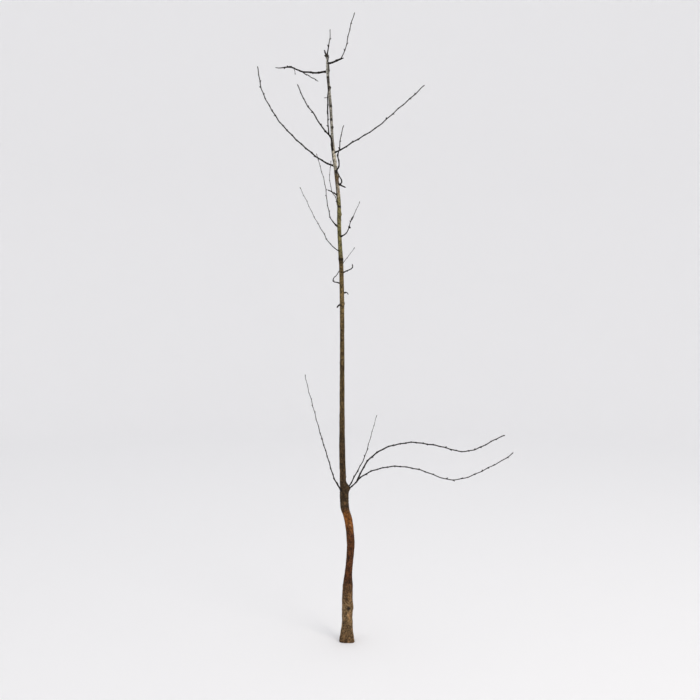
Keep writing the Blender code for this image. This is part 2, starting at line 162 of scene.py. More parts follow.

# Knots, healed cuts and stains of the bark, which the solids leave out, together with painted
# shade: broad flat dark patches on the shaded sides of the upper trunk and a painted shadow band
# over the foot. Each is a swelling, with its place, heading, tall, wide, rise and stain
TRUNK_KNOTS_AND_PAINTED_SHADE = tuple(starmap(Swelling, (
    (0.107, 287, 0.0068, 25, -0.0026, 1.9), (0.107, 287, 0.012, 50, 0.0016),
    (0.082, 292, 0.022, 18, -0.0008, -1), (0.05, 226, 0.034, 36, 0.0005, 0.6),
    # The ring at 0.19 m is painted shadow, in the band that crosses the trunk above the foot
    (0.15, 240, 0.005, 30, 0.0006, 0.5), (0.19, 270, 0.017, RING, 0.0004, 0.45),
    (0.262, 250, 0.0045, 34, 0.0006, 0.5), (0.331, 285, 0.004, 30, 0.0005, 0.4),
    (0.366, 285, 0.005, 30, 0.0008, -0.8), (0.423, 314, 0.005, 36, 0.0012, 0.9),
    (0.432, 278, 0.0105, 26, 0.0012), (0.432, 278, 0.008, 17, -0.0014, -0.7),
    (0.452, 225, 0.006, 40, 0.0014, 0.6), (0.513, 0, 0.005, 45, 0.0013, 0.5),
    (0.553, 240, 0.0045, 50, 0.0006, 1), (0.63, 270, 0.013, RING, 0.0002, 0.4),
    (0.712, 250, 0.0035, 50, 0.0006, 0.5), (0.826, 300, 0.0035, 50, 0.0006, 0.5),
    (0.948, 240, 0.0035, 55, 0.0006, 0.5), (1.043, 350, 0.004, 50, 0.0006, 0.7),
    (1.062, 320, 0.004, 50, 0.0006, 0.6), (1.176, 270, 0.0054, RING, 0.0004, 1.6),
    (1.201, 240, 0.004, 60, 0.0006, 0.8), (1.262, 300, 0.005, 60, 0.0006, 0.5),
    (1.309, 0, 0.004, 50, 0.0011, 0.8), (1.333, 285, 0.0042, 105, 0.001, 1.7),
    # Painted shade: the broad flat stains on the left at 1.25 and 1.385 m darken the shaded side of
    # the trunk
    (1.25, 205, 0.09, 44, 0.0001, 0.45), (1.354, 205, 0.015, 34, 0.0003, 0.8),
    (1.385, 218, 0.044, 70, 0.0001, 0.7), (1.377, 275, 0.009, 70, 0.0002, -0.55),
    (1.404, 300, 0.008, 70, 0.0004, 0.45), (1.434, 285, 0.0085, 105, 0.001, 1),
    # Painted shade: the broad flat stain on the left at 1.485 m darkens the shaded side of the
    # trunk
    (1.47, 250, 0.004, 60, 0.0006, 0.6), (1.485, 208, 0.052, 58, 0.0001, 0.65),
    # The dark knot on the left at 1.516 m is partly a real knot and partly painted shade of the
    # shaded side
    (1.516, 205, 0.0065, 60, 0.001, 1.2), (1.568, 335, 0.0048, 85, 0.0018, 2.4),
    (1.59, 265, 0.005, 90, 0.0012, 2.4), (1.631, 300, 0.005, 90, 0.0014, 2.4),
    (1.646, 240, 0.011, 70, 0.0002, 0.5), (1.686, 325, 0.0046, 80, 0.0016, 2.2),
    (1.7, 270, 0.007, RING, 0.0001, 0.4), (1.714, 260, 0.007, RING, 0.0002, 1),
    # Painted shade: the broad flat stain on the right at 1.745 m darkens the shaded side of the top
    (1.735, 345, 0.0042, 70, 0.0014, 1.8), (1.745, 325, 0.02, 74, 0.0001, 1.1),
    (1.757, 350, 0.0036, 60, 0.001, 1.2), (1.78, 270, 0.0062, RING, 0.0004, 2.2),
)))

# How dark the painted shade is in the hollows between the trunk's fine wrinkles, and rings of
# the wrinkles round the trunk: where they start and end, how far apart they are and how high they
# stand
WRINKLE_PAINTED_SHADE = 0.45
Wrinkles = namedtuple("Wrinkles", "low high spacing rise")
TRUNK_WRINKLES = tuple(starmap(Wrinkles, (
    (0.396, 0.48, 0.0062, 0.0007), (0.48, 0.5, 0.0045, 0.00045), (1.162, 1.21, 0.0036, 0.0003),
    (1.385, 1.425, 0.004, 0.00025), (1.748, 1.784, 0.0046, 0.0003),
)))

# A limb: what carries it, where its foot is (a height on the trunk, or a distance along
# another limb), its length, and the ways it points at even steps from foot to tip. "front"
# is the way seen from the front: 0 right, 90 straight up, 180 left. "back" is how far it
# then leans away from the front, negative towards it. The bough stops at the fraction
# "twigs_from" and last season's twigs grow on from there.
Limb = namedtuple("Limb", "name carrier foot length front back foot_width tip_width twigs_from")
LIMBS = tuple(starmap(Limb, (
    ("base_left", "trunk", 0.46, 0.433, (133, 115, 103, 105, 105, 104, 103, 105, 99),
     (-35, -10), 0.0046, 0.0015, 0.5),
    ("base_back", "trunk", 0.462, 0.304, (51, 57, 56, 72, 72, 73), (50, 25), 0.0048, 0.0014, 0.5),
    ("base_lower", "trunk", 0.467, 0.596, (37, 53, 37, 24, 18, 2, -5, -17, -15, 12, 28, 32, 32, 44),
     (-10, -38, -32, -22, -15), 0.0043, 0.0024, 0.6),
    ("base_upper", "base_lower", 0.052, 0.606,
     (72, 62, 37, 21, 5, 3, -14, -12, -19, -19, 4, 21, 27, 16),
     (15, 35, 28, 20, 15), 0.0047, 0.0034, 0.6),
    ("left_low", "trunk", 1.199, 0.273, (159, 138, 117, 121, 119, 115, 116, 117),
     (40, 15), 0.003, 0.0013, 0.45),
    ("left_middle", "trunk", 1.262, 0.313,
     (103, 143, 126, 102, 102, 101, 93, 99, 101, 107, 106, 104, 113),
     (45, 20), 0.0034, 0.0016, 0.45),
    ("right_middle", "trunk", 1.243, 0.142, (19, 34, 68, 72, 67, 61, 64, 72),
     (-45, -25), 0.0041, 0.0013, 0.4),
    ("right_upright", "trunk", 1.43, 0.164, (111, 47, 97, 102, 71, 83, 83, 75, 68),
     (-50, -25), 0.0048, 0.0023, 0.5),
    ("left_long", "trunk", 1.454, 0.45, (172, 148, 138, 138, 133, 132, 122, 120, 113, 98, 102),
     (25, 15), 0.005, 0.0029, 0.55),
    ("right_long", "trunk", 1.492, 0.346, (21, 30, 26, 26, 30, 38, 39, 37, 40, 42),
     (-35, -20), 0.0043, 0.0027, 0.55),
    ("left_fork", "trunk", 1.494, 0.227, (113, 95, 132, 134, 118, 131, 125, 111, 119),
     (-30, -15), 0.0056, 0.0027, 0.55),
    ("top_left", "trunk", 1.731, 0.168, (171, 192, 182, 165, 174, 156, 145, 188, 178, 172),
     (20, 15), 0.0057, 0.0021, 0.47),
    ("top_right", "trunk", 1.756, 0.051, (2, 27, 19), (-25, -10), 0.005, 0.0056, 1),
    ("left_thin", "trunk", 1.326, 0.182, (127, 100, 124, 100, 97, 80, 92),
     (40, 20), 0.0022, 0.0014, 0),
    ("right_thin", "trunk", 1.152, 0.096, (75, 61, 48, 63), (50, 35), 0.0018, 0.0012, 0),
    ("fork_upright", "left_fork", 0.058, 0.165, (93, 102, 87, 92, 86, 88, 90),
     (-40, -20), 0.0034, 0.003, 0),
    ("top_right_upright", "top_right", 0.043, 0.149, (63, 78, 79, 76, 71),
     (12, 12), 0.0028, 0.0024, 0),
    ("leader", "trunk", 1.778, 0.074, (81, 86, 82, 89), (-10, 5), 0.004, 0.0022, 0),
)))

# Short thorny spurs that leave the trunk: limbs that are bough right to the tip
SPURS = tuple(Limb(name, "trunk", *sizes, 1) for name, *sizes in (
    ("top_stub", 1.776, 0.022, (116, 113), (20, 20), 0.0038, 0.0034),
    ("top_spur", 1.758, 0.018, (75, 85), (-35, -30), 0.0028, 0.002),
    ("left_spur_upper", 1.361, 0.036, (115, 156, 154, 164), (-15, -10), 0.0046, 0.003),
    ("right_spur_upper", 1.401, 0.026, (-20, -23), (-30, -20), 0.0044, 0.0036),
    ("right_spur_hook", 1.397, 0.046, (34, 33, 104, 132, 111), (35, 10), 0.004, 0.0033),
    ("right_spur_middle", 1.133, 0.049, (38, 33, 25, 36, 107), (30, 20), 0.0038, 0.0029),
    ("left_spur_hook", 1.101, 0.074, (149, 167, 180, 81, 40, 56, 50), (30, 20), 0.004, 0.0022),
    ("right_spur_lower", 1.071, 0.021, (38, 34, -50), (-20, -20), 0.0046, 0.0024),
    ("left_spur_lower", 1.042, 0.018, (205, 205, 246), (-30, -30), 0.0038, 0.0038),
))
PRUNED = ("top_right", "top_stub")

# Limbs that stay thick nearly to their tip
BLUNT = ("top_left",)

# Twigs that branch from the twigs of a limb, at "start" along it. Their buds are smaller and
# closer than the limb's by two shares, and they sway from bud to bud. The first bud is at
# FINE_FIRST, and the last one FINE_CLEAR or more from the tip.
FINE_BUD = 0.75
FINE_SPACING = 0.72
FINE_SWAY = 0.0007
FINE_FIRST = 0.012
FINE_CLEAR = 0.006
SideTwig = namedtuple("SideTwig", "limb start length front back width")
SIDE_TWIGS = tuple(starmap(SideTwig, (
    ("top_left", 0.09, 0.084, -17, 52, 0.0022),
    ("top_left", 0.112, 0.016, -78, 35, 0.0014),
    ("fork_upright", 0.115, 0.006, 178, 15, 0.0014),
)))

# Knots of the limbs, as swellings, by the limb that bears them
LIMB_KNOTS = {limb: tuple(starmap(Swelling, knots)) for limb, knots in {
    "top_left": ((0.048, 0, 0.0026, 60, 0.0018), (0.126, 0, 0.009, RING, 0.001, 0.9),
                 (0.134, 180, 0.0022, 50, 0.0038, 0.8), (0.121, 180, 0.003, 60, 0.0016)),
    "top_right": ((0.032, 0, 0.005, RING, 0.0005), (0.052, 0, 0.008, RING, -0.0013)),
    "left_middle": ((0.006, 0, 0.01, RING, 0.0005, 0.6), (0.026, 0, 0.018, RING, 0.0012, 0.9)),
    "fork_upright": ((0.09, 0, 0.033, RING, 0.0004, 0.5), (0.068, 0, 0.0036, RING, 0.0006, 0.8)),
    "right_upright": ((0.074, 0, 0.004, RING, 0.0008, 0.6),),
    "right_middle": ((0.006, 0, 0.014, RING, 0.0004, 0.8), (0.056, 0, 0.0044, RING, 0.0015, 1),
                     (0.054, 180, 0.0026, 50, 0.0036, 1), (0.086, 0, 0.01, RING, 0.0015, 1)),
    "base_left": ((0.048, 0, 0.008, RING, 0.0006),),
    "base_upper": ((0, 0, 0.01, RING, -0.0009),),
}.items()}

# The studio: the flat floor's rings, the bend up to the wall all round it, and the lamp
FLOOR_RINGS = (0.02, 0.4, 1.5)
FLOOR_SIDES = 96
WALL_BEND = 2.2
BEND_STEPS = 16
LAMP_SIZE = 2.6
LAMP_PLACE = (2.6, -3.4, 3.9)
LAMP_AIM = Vector((0.0, 0.0, 1.0))

# The camera stands in front of the tree at chest height and looks slightly down
SENSOR_WIDTH = 36.0
CAMERA_PLACE = (0.0063, -2.942, 1.0994)
CAMERA_PITCH = 86.17

# What the rings of a limb are turned by
UP = Vector((0.0, 0.0, 1.0))
BACK = Vector((0.0, 1.0, 0.0))


# Sizes and colours that a user would change


def linear(colour):
    """Turn an sRGB hex colour into linear red, green and blue."""
    parts = [int(colour[place:place + 2], 16) / 255 for place in (1, 3, 5)]
    return [part / 12.92 if part <= 0.04045 else ((part + 0.055) / 1.055) ** 2.4 for part in parts]


def count_setting(name, description, default, least, most):
    """Return a setting that holds a number of faces or rings."""
    return IntProperty(name=name, description=description, default=default, min=least, max=most)


def length_setting(name, description, default, precision=5):
    """Return a setting that holds a length in metres."""
    return FloatProperty(name=name, description=description, default=default, min=0.0,
                         unit="LENGTH", precision=precision)


def colour_setting(name, description, default):
    """Return a setting that holds a colour, given as an sRGB hex value."""
    return FloatVectorProperty(name=name, description=description, default=linear(default),
                               subtype="COLOR", min=0.0, max=1.0)


class TreeBarkSizes(bpy.types.PropertyGroup):
    """Sizes of the relief on the trunk and boughs."""

    trunk_sides: count_setting("Trunk sides", "Faces round the trunk", 72, 12, 96)
    trunk_ring: length_setting("Trunk rings", "Height of one ring of the trunk", 0.0015)
    bough_sides: count_setting("Bough sides", "Faces round a bough", 20, 8, 32)
    bough_ring: length_setting("Bough rings", "Length of one ring of a bough", 0.0012)
    hollows: length_setting("Hollows", "Distance between soft hollows in the bark", 0.014)
    crack_depth: length_setting("Crack depth", "Depth of the cracks at the foot", 0.0006)
    crack_width: length_setting("Crack width", "Distance between cracks round it", 0.0040)
    crack_length: length_setting("Crack length", "Length of the cracks", 0.030)
    lenticel_rise: length_setting("Lenticel rise", "How far a lenticel stands out", 0.00028)
    lenticel_gap: length_setting("Lenticel gap", "Distance between lenticels", 0.011)
    scar_rise: length_setting("Scar rise", "How far an old bud scar stands out", 0.0007)
    scar_gap: length_setting("Scar gap", "Height from one old bud scar to the next", 0.031)


class TreeShootSizes(bpy.types.PropertyGroup):
    """Sizes of the twigs and buds."""

    twig_sides: count_setting("Twig sides", "Faces round a twig", 16, 6, 24)
    twig_ring: length_setting("Twig rings", "Length of one ring of a twig", 0.0010)
    bud_length: length_setting("Bud length", "Length of a side bud", 0.0048)
    bud_width: length_setting("Bud width", "Width of a side bud", 0.0027)
    bud_sides: count_setting("Bud sides", "Faces round a bud", 16, 8, 24)
    bud_rings: count_setting("Bud rings", "Rings along a bud", 14, 6, 24)
    cushion: FloatProperty(name="Bud cushion", description="Swelling under a bud, as a share of "
                           "the twig's radius", default=0.46, min=0.0, max=1.0, subtype="FACTOR")


class TreeColours(bpy.types.PropertyGroup):
    """Colours of the bark, buds and cut wood."""

    foot: colour_setting("Foot", "Old bark over the ground", "#7f6646")
    # Painted shade: darker bark at the ground, and the painted shadow of a band across the trunk
    # above the foot
    foot_shade: colour_setting("Foot shade", "Old bark at the ground, dark with damp", "#644c31")
    shank: colour_setting("Shank", "Reddish bark below the whorl", "#56331a")
    knee: colour_setting("Knee", "Orange bark under the whorl", "#78491f")
    whorl: colour_setting("Whorl", "Dark bark of the low whorl", "#463622")
    stem: colour_setting("Stem", "Brown bark over the whorl", "#58482c")
    brown: colour_setting("Brown", "Warm bark half-way up", "#675636")
    olive: colour_setting("Olive", "Olive bark over the middle", "#6f6843")
    fawn: colour_setting("Fawn", "Peeling skin under the side shoots", "#8c8372")
    rust: colour_setting("Rust", "Young bark where the skin has peeled", "#6a573f")
    pale: colour_setting("Pale", "Pale skin of the upper stem", "#a39c8b")
    grey: colour_setting("Grey", "Grey bark over the forks", "#817d72")
    top: colour_setting("Top", "Grey bark of the pruned top", "#9b9990")
    # The stain colour is also the colour of the painted shade and painted shadow on the trunk
    dark: colour_setting("Stain", "Knots and old cracks", "#1f170e")
    bare: colour_setting("Bare wood", "Healed cuts and split bark", "#ab8258")
    bough: colour_setting("Bough", "Smooth bark of the boughs", "#1b1612")
    bloom: colour_setting("Bloom", "Grey film on the boughs", "#2f2b27")
    twig: colour_setting("Twig", "Bark of the last season", "#1d1613")
    scale: colour_setting("Bud scale", "Scales of the buds", "#21150f")
    scale_edge: colour_setting("Scale edge", "Dry edges of the bud scales", "#0e0a08")
    cut_wood: colour_setting("Cut wood", "Weathered pruning cuts", "#83786a")


class TreeStage(bpy.types.PropertyGroup):
    """Sizes and strengths of the studio."""

    floor: colour_setting("Floor", "Matt paint of the floor", "#f3f3f4")
    sky_colour: colour_setting("Soft light colour", "Colour of the even light", "#f7f7f9")
    key_colour: colour_setting("Key light colour", "Colour of the lamp", "#fff8f0")
    flat: length_setting("Flat floor", "Radius of the flat floor", 4.2, 2)
    rise: length_setting("Wall", "Height of the wall that the floor turns up into",
                         2.4 * (CAD_BOX[1][2] - CAD_BOX[0][2]), 2)
    sky: FloatProperty(name="Soft light", description="Strength of the even light",
                       default=0.935, min=0.0)
    key: FloatProperty(name="Key light", description="Power of the large soft lamp",
                       default=82.0, min=0.0, subtype="POWER", unit="POWER")
    lens: FloatProperty(name="Lens", description="Focal length in millimetres",
                        default=50.0, min=10.0)


# The rule of growth, as the solids have it


def along(values, fraction):
    """Read a list of values that stand at even steps, at a fraction from 0 to 1."""
    place = min(max(fraction, 0.0), 1.0) * (len(values) - 1)
    first = min(int(place), len(values) - 2)
    return values[first] + (values[first + 1] - values[first]) * (place - first)


def ease(low, high, value):
    """Return 0 below low and 1 above high, with an even passage between them."""
    share = min(max((value - low) / (high - low), 0.0), 1.0)
    return share * share * (3.0 - 2.0 * share)


def station_slope(index, field):
    """Return how fast one size of the trunk changes with height at a station."""
    low, high = TRUNK[max(index - 1, 0)], TRUNK[min(index + 1, len(TRUNK) - 1)]
    return (getattr(high, field) - getattr(low, field)) / (high.height - low.height)


def trunk_at(height):
    """Return the trunk's centre and its radius, before any swelling, at a height."""
    height = min(max(height, 0.0), TRUNK_TOP)
    upper = next(i for i in range(1, len(TRUNK)) if height <= TRUNK[i].height)
    low, high = TRUNK[upper - 1], TRUNK[upper]
    span = high.height - low.height
    share = (height - low.height) / span
    sizes = {}
    for field in ("right", "back", "width"):
        leaving = station_slope(upper - 1, field) * span
        arriving = station_slope(upper, field) * span
        start, end = getattr(low, field), getattr(high, field)
        bend = (share - 1) * leaving + share * arriving
        even = start * (1 + 2 * share) * (1 - share) ** 2 + end * share ** 2 * (3 - 2 * share)
        sizes[field] = even + share * (share - 1) * bend
    return Vector((sizes["right"], sizes["back"], height)), sizes["width"] / 2


@functools.cache
def node_distances(limb):
    """Return where the buds sit along a limb, with a seeded unevenness."""
    chance = random.Random(limb.name)
    nodes = []
    distance = FIRST_NODE
    while distance < limb.length - INTERNODE / 2:
        nodes.append(distance + chance.uniform(-1, 1) * INTERNODE_SPREAD * INTERNODE)
        distance += INTERNODE
    return nodes


def kink_side(distance):
    """Return the side that a limb turns to, from -1 to 1, which changes over at each node."""
    place = max(distance - FIRST_NODE, 0.0) / INTERNODE
    node = round(place)
    before = 1.0 if node % 2 == 0 else -1.0
    if node == 0:
        return -before
    reach = KINK_REACH / INTERNODE
    return before * (1.0 - 2.0 * ease(node - reach, node + reach, place))


def way_of(front, back):
    """Return the way that a pair of angles points."""
    front, back = math.radians(front), math.radians(back)
    level = math.cos(back)
    return Vector((math.cos(front) * level, math.sin(back), math.sin(front) * level))


def limb_direction(limb, distance):
    """Return the way a limb points, with the small kink it makes at every node."""
    fraction = distance / limb.length
    front = along(limb.front, fraction) + kink_side(distance) * KINK
    return way_of(front, along(limb.back, fraction))


@functools.cache
def limb_walk(limb):
    """Walk a limb's centre line once, and return its points at every walking step."""
    if limb.carrier == "trunk":
        point = trunk_at(limb.foot)[0]
    else:
        carrier = next(other for other in LIMBS if other.name == limb.carrier)
        point = limb_point(carrier, limb.foot)
    points = [point]
    for count in range(math.ceil(limb.length / WALK_STEP)):
        way = limb_direction(limb, (count + 0.5) * WALK_STEP)
        points.append(points[-1] + way * WALK_STEP)
    return points


def limb_point(limb, distance):
    """Return the point at a distance along a limb's centre line."""
    points = limb_walk(limb)
    # The place stays just short of the last point, so that there is always a next one
    place = min(max(distance, 0.0) / WALK_STEP, len(points) - 1.001)
    return points[int(place)].lerp(points[int(place) + 1], place - int(place))


def limb_radius(limb, distance):
    """Return a limb's radius: it tapers to its tip, and has a collar at its foot."""
    left = max(1.0 - distance / limb.length, 0.0)
    taper = BLUNT_TAPER if limb.name in BLUNT else TAPER
    width = limb.tip_width + (limb.foot_width - limb.tip_width) * left ** taper
    buried = trunk_at(limb.foot)[1] if limb.carrier == "trunk" else 0.0
    outside = max(distance - buried, 0.0)
    return width / 2 * (1.0 + COLLAR_SWELL * math.exp(-outside / COLLAR_REACH))


@functools.cache
def surface_crossing(limb):
    """Return how far along a limb it comes out of the trunk."""
    distance = 0.0
    while distance < limb.length:
        point = limb_point(limb, distance)
        centre, radius = trunk_at(point.z)
        if (point - centre).xy.length > radius or point.z > TRUNK_TOP:
            break
        distance += WALK_STEP
    return distance


def twig_nodes(limb, start):
    """Return the nodes of a limb's twigs, and the side twigs that start at some of them."""
    side_twigs = {twig.start: twig for twig in SIDE_TWIGS if twig.limb == limb.name}
    nodes = list(side_twigs)
    for node in node_distances(limb):
        inside = start + CLEAR_OF_START < node < limb.length - CLEAR_OF_END
        if inside and all(abs(node - place) > CLEAR_OF_SIDE_TWIG for place in side_twigs):
            nodes.append(node)
    return sorted(nodes), side_twigs


# Skins: rings of points joined into closed tubes


def band_faces(start, count, sides):
    """Return the faces between rings whose points are numbered from start, ring by ring."""
    near = np.arange(sides)
    after = (near + 1) % sides
    rows = start + np.arange(count - 1)[:, None] * sides
    band = np.stack([rows + near, rows + after, rows + sides + after, rows + sides + near], -1)
    return band.reshape(-1, 4).tolist()


def fan_faces(middle, first, second):
    """Return the faces from one point to each pair of neighbours in a ring."""
    return np.stack([np.full(len(first), middle), first, second], -1).tolist()


class Skin:
    """The points, faces, finishes and stains of one piece, gathered tube by tube."""

    def __init__(self):
        self.points = []
        self.faces = []
        self.finishes = []
        self.stains = []

    def add_tube(self, rings, finish=0, stain=0.0):
        """Join rings of points into a closed tube. Finish and stain are one value or a grid."""
        count, sides = rings.shape[:2]
        start = len(self.points)
        self.points += rings.reshape(-1, 3).tolist()
        self.points += [rings[0].mean(axis=0).tolist(), rings[-1].mean(axis=0).tolist()]
        self.stains += np.broadcast_to(stain, (count, sides)).ravel().tolist() + [0.0, 0.0]
        near = start + np.arange(sides)
        after = np.roll(near, -1)
        foot = start + count * sides
        up = (count - 1) * sides
        self.faces += band_faces(start, count, sides)
        self.faces += fan_faces(foot, after, near) + fan_faces(foot + 1, near + up, after + up)
        finishes = np.broadcast_to(finish, (count - 1, sides))
        self.finishes += finishes.ravel().tolist()
        self.finishes += finishes[0].tolist() + finishes[-1].tolist()


def make_piece(name, skin, materials, nodes):
    """Turn a skin into a piece that rides on the tree and stands for some of its solids."""
    data = bpy.data.meshes.new(name)
    inside = np.clip(skin.points, *CAD_BOX)
    data.from_pydata(inside.tolist(), [], skin.faces)
    data.polygons.foreach_set("material_index", skin.finishes)
    if any(skin.stains):
        stains = data.attributes.new("stain", "FLOAT", "POINT")
        stains.data.foreach_set("value", skin.stains)
    for material in materials:
        data.materials.append(material)
    data.shade_smooth()
    data.update()
    piece = bpy.data.objects.new(name, data)
    bpy.context.scene.collection.objects.link(piece)
    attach(piece, "root")
    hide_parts(*nodes)
    return piece


def ring_headings(sides):
    """Return the headings of the points of a ring, in degrees."""
    return np.arange(sides) * 360.0 / sides


def press(lift, stain, places, headings, swelling):
    """Raise a swelling, or sink a dent, on a grid of heights over a skin, and stain it."""
    reach = FADED * swelling.tall
    ends = (swelling.place - reach, swelling.place + reach)
    first, last = np.searchsorted(places, ends)
    up = (places[first:last] - swelling.place) / swelling.tall
    turn = (headings - swelling.heading + 180.0) % 360.0 - 180.0
    round_it = turn * 0.0 if swelling.wide == RING else turn / swelling.wide
    shape = np.exp(-2.0 * (up[:, None] ** 2 + round_it ** 2))
    lift[first:last] += swelling.rise * shape
    stain[first:last] += swelling.stain * shape


def limb_rings(centres, ways, radii, headings):
    """Return rings of points across a centre line, turned the same way all along it."""
    rings = np.empty(radii.shape + (3,))
    turns = np.radians(headings)
    for row, (centre, way) in enumerate(zip(centres, ways)):
        across = way.cross(BACK).normalized()
        over = way.cross(across)
        out = np.outer(np.cos(turns), across) + np.outer(np.sin(turns), over)
        rings[row] = np.array(centre) + out * radii[row][:, None]
    return rings


def roughen(rings, centres, hollows, grain):
    """Add soft hollows of about 12 mm and grain of 3 mm to rings, as shares of the radius."""
    for row, centre in enumerate(centres):
        for side in range(rings.shape[1]):
            point = Vector(rings[row, side])
            coarse = hollows * noise.noise(point * HOLLOWS_A_METRE)
            fine = grain * noise.noise(point * GRAINS_A_METRE)
            rings[row, side] += (rings[row, side] - centre) * (coarse + fine)
    return rings


def marked_rings(places, centres, ways, radii, sides, marks, rough):
    """Return rings along a line with marks pressed into their skin, and their stains."""
    headings = ring_headings(sides)
    lift = np.zeros((len(places), sides))
    stain = np.zeros_like(lift)
    for mark in marks:
        press(lift, stain, places, headings, mark)
    rings = limb_rings(centres, ways, radii[:, None] + lift, headings)
    return roughen(rings, centres, *rough), np.clip(stain, -1.0, 1.0)


# The trunk


# The collar of the trunk at a limb's foot and the ridge of bark over it: shares of the limb's
# width, which "steeper" adds to as the limb is steeper
COLLAR_STEEPER = 0.45
COLLAR_WIDE = 1.05
COLLAR_RISE = 0.24
RIDGE_PLACE = 0.9
RIDGE_STEEPER = 0.4


def limb_collars():
    """Return the swellings of the trunk where limbs leave it."""
    collars = []
    for limb in LIMBS + SPURS:
        if limb.carrier != "trunk":
            continue
        crossing = surface_crossing(limb)
        point, way = limb_point(limb, crossing), limb_direction(limb, crossing)
        centre, radius = trunk_at(point.z)
        offset = point - centre
        heading = math.degrees(math.atan2(offset.y, offset.x))
        steep = min(abs(way.z) / max(way.xy.length, 0.3), 2.0)
        tall = limb.foot_width * (1.0 + COLLAR_STEEPER * steep)
        wide = math.degrees(limb.foot_width * COLLAR_WIDE / radius)
        collars.append(Swelling(point.z, heading, tall, wide, limb.foot_width * COLLAR_RISE, 0.35))
        # A fine dark ridge, a little wider than the collar
        ridge = point.z + limb.foot_width * (RIDGE_PLACE + RIDGE_STEEPER * steep)
        collars.append(Swelling(ridge, heading, 0.0014, wide * 1.3, 0.0003, 0.7))
    return collars


def bud_scars(sizes):
    """Return the scars of old buds, which climb the trunk with the turn of the buds."""
    chance = random.Random("scars of the trunk")
    scars = []
    height, heading = 0.05, 20.0
    while height < TRUNK_TOP - 0.02:
        place = height + chance.uniform(-0.3, 0.3) * sizes.scar_gap
        radius = trunk_at(place)[1]
        wide = math.degrees(0.0042 / radius)
        rise = sizes.scar_rise * chance.uniform(0.5, 1.1)
        # A soft swelling, a fine dark line under it, and a shallow dent below that
        scars.append(Swelling(place, heading, 0.0050, wide * 1.2, rise * 0.6, 0.1))
        scars.append(Swelling(place - 0.0016, heading, 0.0014, wide, rise * 0.5, 0.45))
        scars.append(Swelling(place - 0.0040, heading, 0.0012, wide, -rise * 0.35, 0.5))
        height += sizes.scar_gap
        heading = (heading + BUD_TURN) % 360.0
    return scars


def lenticels(sizes):
    """Return the lenticels: small corky dashes that lie across the trunk."""
    chance = random.Random("lenticels of the trunk")
    dashes = []
    height = 0.01
    while height < TRUNK_TOP - 0.01:
        radius = trunk_at(height)[1]
        around = max(2, round(2 * math.pi * radius / sizes.lenticel_gap))
        for _ in range(around):
            place = height + chance.uniform(-0.5, 0.5) * sizes.lenticel_gap
            wide = math.degrees(chance.uniform(0.0010, 0.0020) / radius)
            rise = sizes.lenticel_rise * chance.uniform(0.5, 1.2)
            # Three in five are pale, and the others dark
            stain = -0.22 if chance.random() < 0.6 else 0.45
            heading = chance.uniform(0.0, 360.0)
            dashes.append(Swelling(place, heading, 0.0013, wide, rise, stain))
        height += sizes.lenticel_gap
    return dashes


def wrinkle_at(height, point):
    """Return how far a wrinkle lifts the trunk's skin at a point, and the painted shade in its
    hollow there.
    """
    for fold in TRUNK_WRINKLES:
        if fold.low < height < fold.high:
            fade = math.sin(math.pi * (height - fold.low) / (fold.high - fold.low)) ** 0.5
            # Wrinkles fade out over 24 mm here and there, and swerve over 17 mm
            fade *= min(1.0, 0.30 + 2.2 * abs(noise.noise(point * 42.0)))
            shift = 1.5 * fold.spacing * noise.noise(point * 60.0)
            wave = math.cos(2 * math.pi * (height + shift) / fold.spacing)
            return fold.rise * fade * wave, WRINKLE_PAINTED_SHADE * fade * max(-wave, 0.0)
    return 0.0, 0.0


def trunk_skin(sizes):
    """Build the trunk with its flare, collars, knots, scars, wrinkles, cracks and lenticels."""
    count = round(TRUNK_TOP / sizes.trunk_ring) + 1
    heights = np.linspace(0.0, TRUNK_TOP, count)
    headings = ring_headings(sizes.trunk_sides)
    lift = np.zeros((count, sizes.trunk_sides))
    stain = np.zeros_like(lift)
    marks = TRUNK_SWELLINGS + TRUNK_KNOTS_AND_PAINTED_SHADE
    for mark in [*marks, *limb_collars(), *bud_scars(sizes), *lenticels(sizes)]:
        press(lift, stain, heights, headings, mark)
    turns = np.radians(headings)
    ways = np.stack([np.cos(turns), np.sin(turns), np.zeros_like(turns)], -1)
    rings = np.empty(lift.shape + (3,))
    # The top is drawn in to a dome over its last 5 mm, and the bark is oldest at the foot
    for row, height in enumerate(heights):
        centre, radius = trunk_at(height)
        dome = math.sqrt(1.0 - 0.9 * ease(TRUNK_TOP - 0.005, TRUNK_TOP, height) ** 2)
        old = 1.0 - ease(0.05, 0.62, height)
        for side, way in enumerate(ways):
            point = centre + Vector(way) * radius
            # Shares of the radius, over 38 mm and over the distance between hollows
            relief = 0.050 * noise.noise(point * 26.0) + 0.040 * noise.noise(point / sizes.hollows)
            reach = radius * (1.0 + relief) + lift[row, side]
            grain = Vector((point.x / sizes.crack_width, point.y / sizes.crack_width,
                            point.z / sizes.crack_length))
            # A crack runs where the noise crosses 0, and is deeper and darker in old bark
            crack = max(0.0, 1.0 - 5.0 * abs(noise.noise(grain)))
            depth = sizes.crack_depth * crack * (0.15 + 0.85 * old)
            stain[row, side] += crack * (0.12 + 0.35 * old)
            # The dark of a wrinkle's hollow is painted shade, added to the stain
            fold, shade = wrinkle_at(height, point)
            stain[row, side] += shade
            rings[row, side] = np.array(centre) + way * (reach + fold - depth) * dome
    skin = Skin()
    skin.add_tube(rings, stain=np.clip(stain, -1.0, 1.0))
    return skin


# Boughs, spurs and twigs


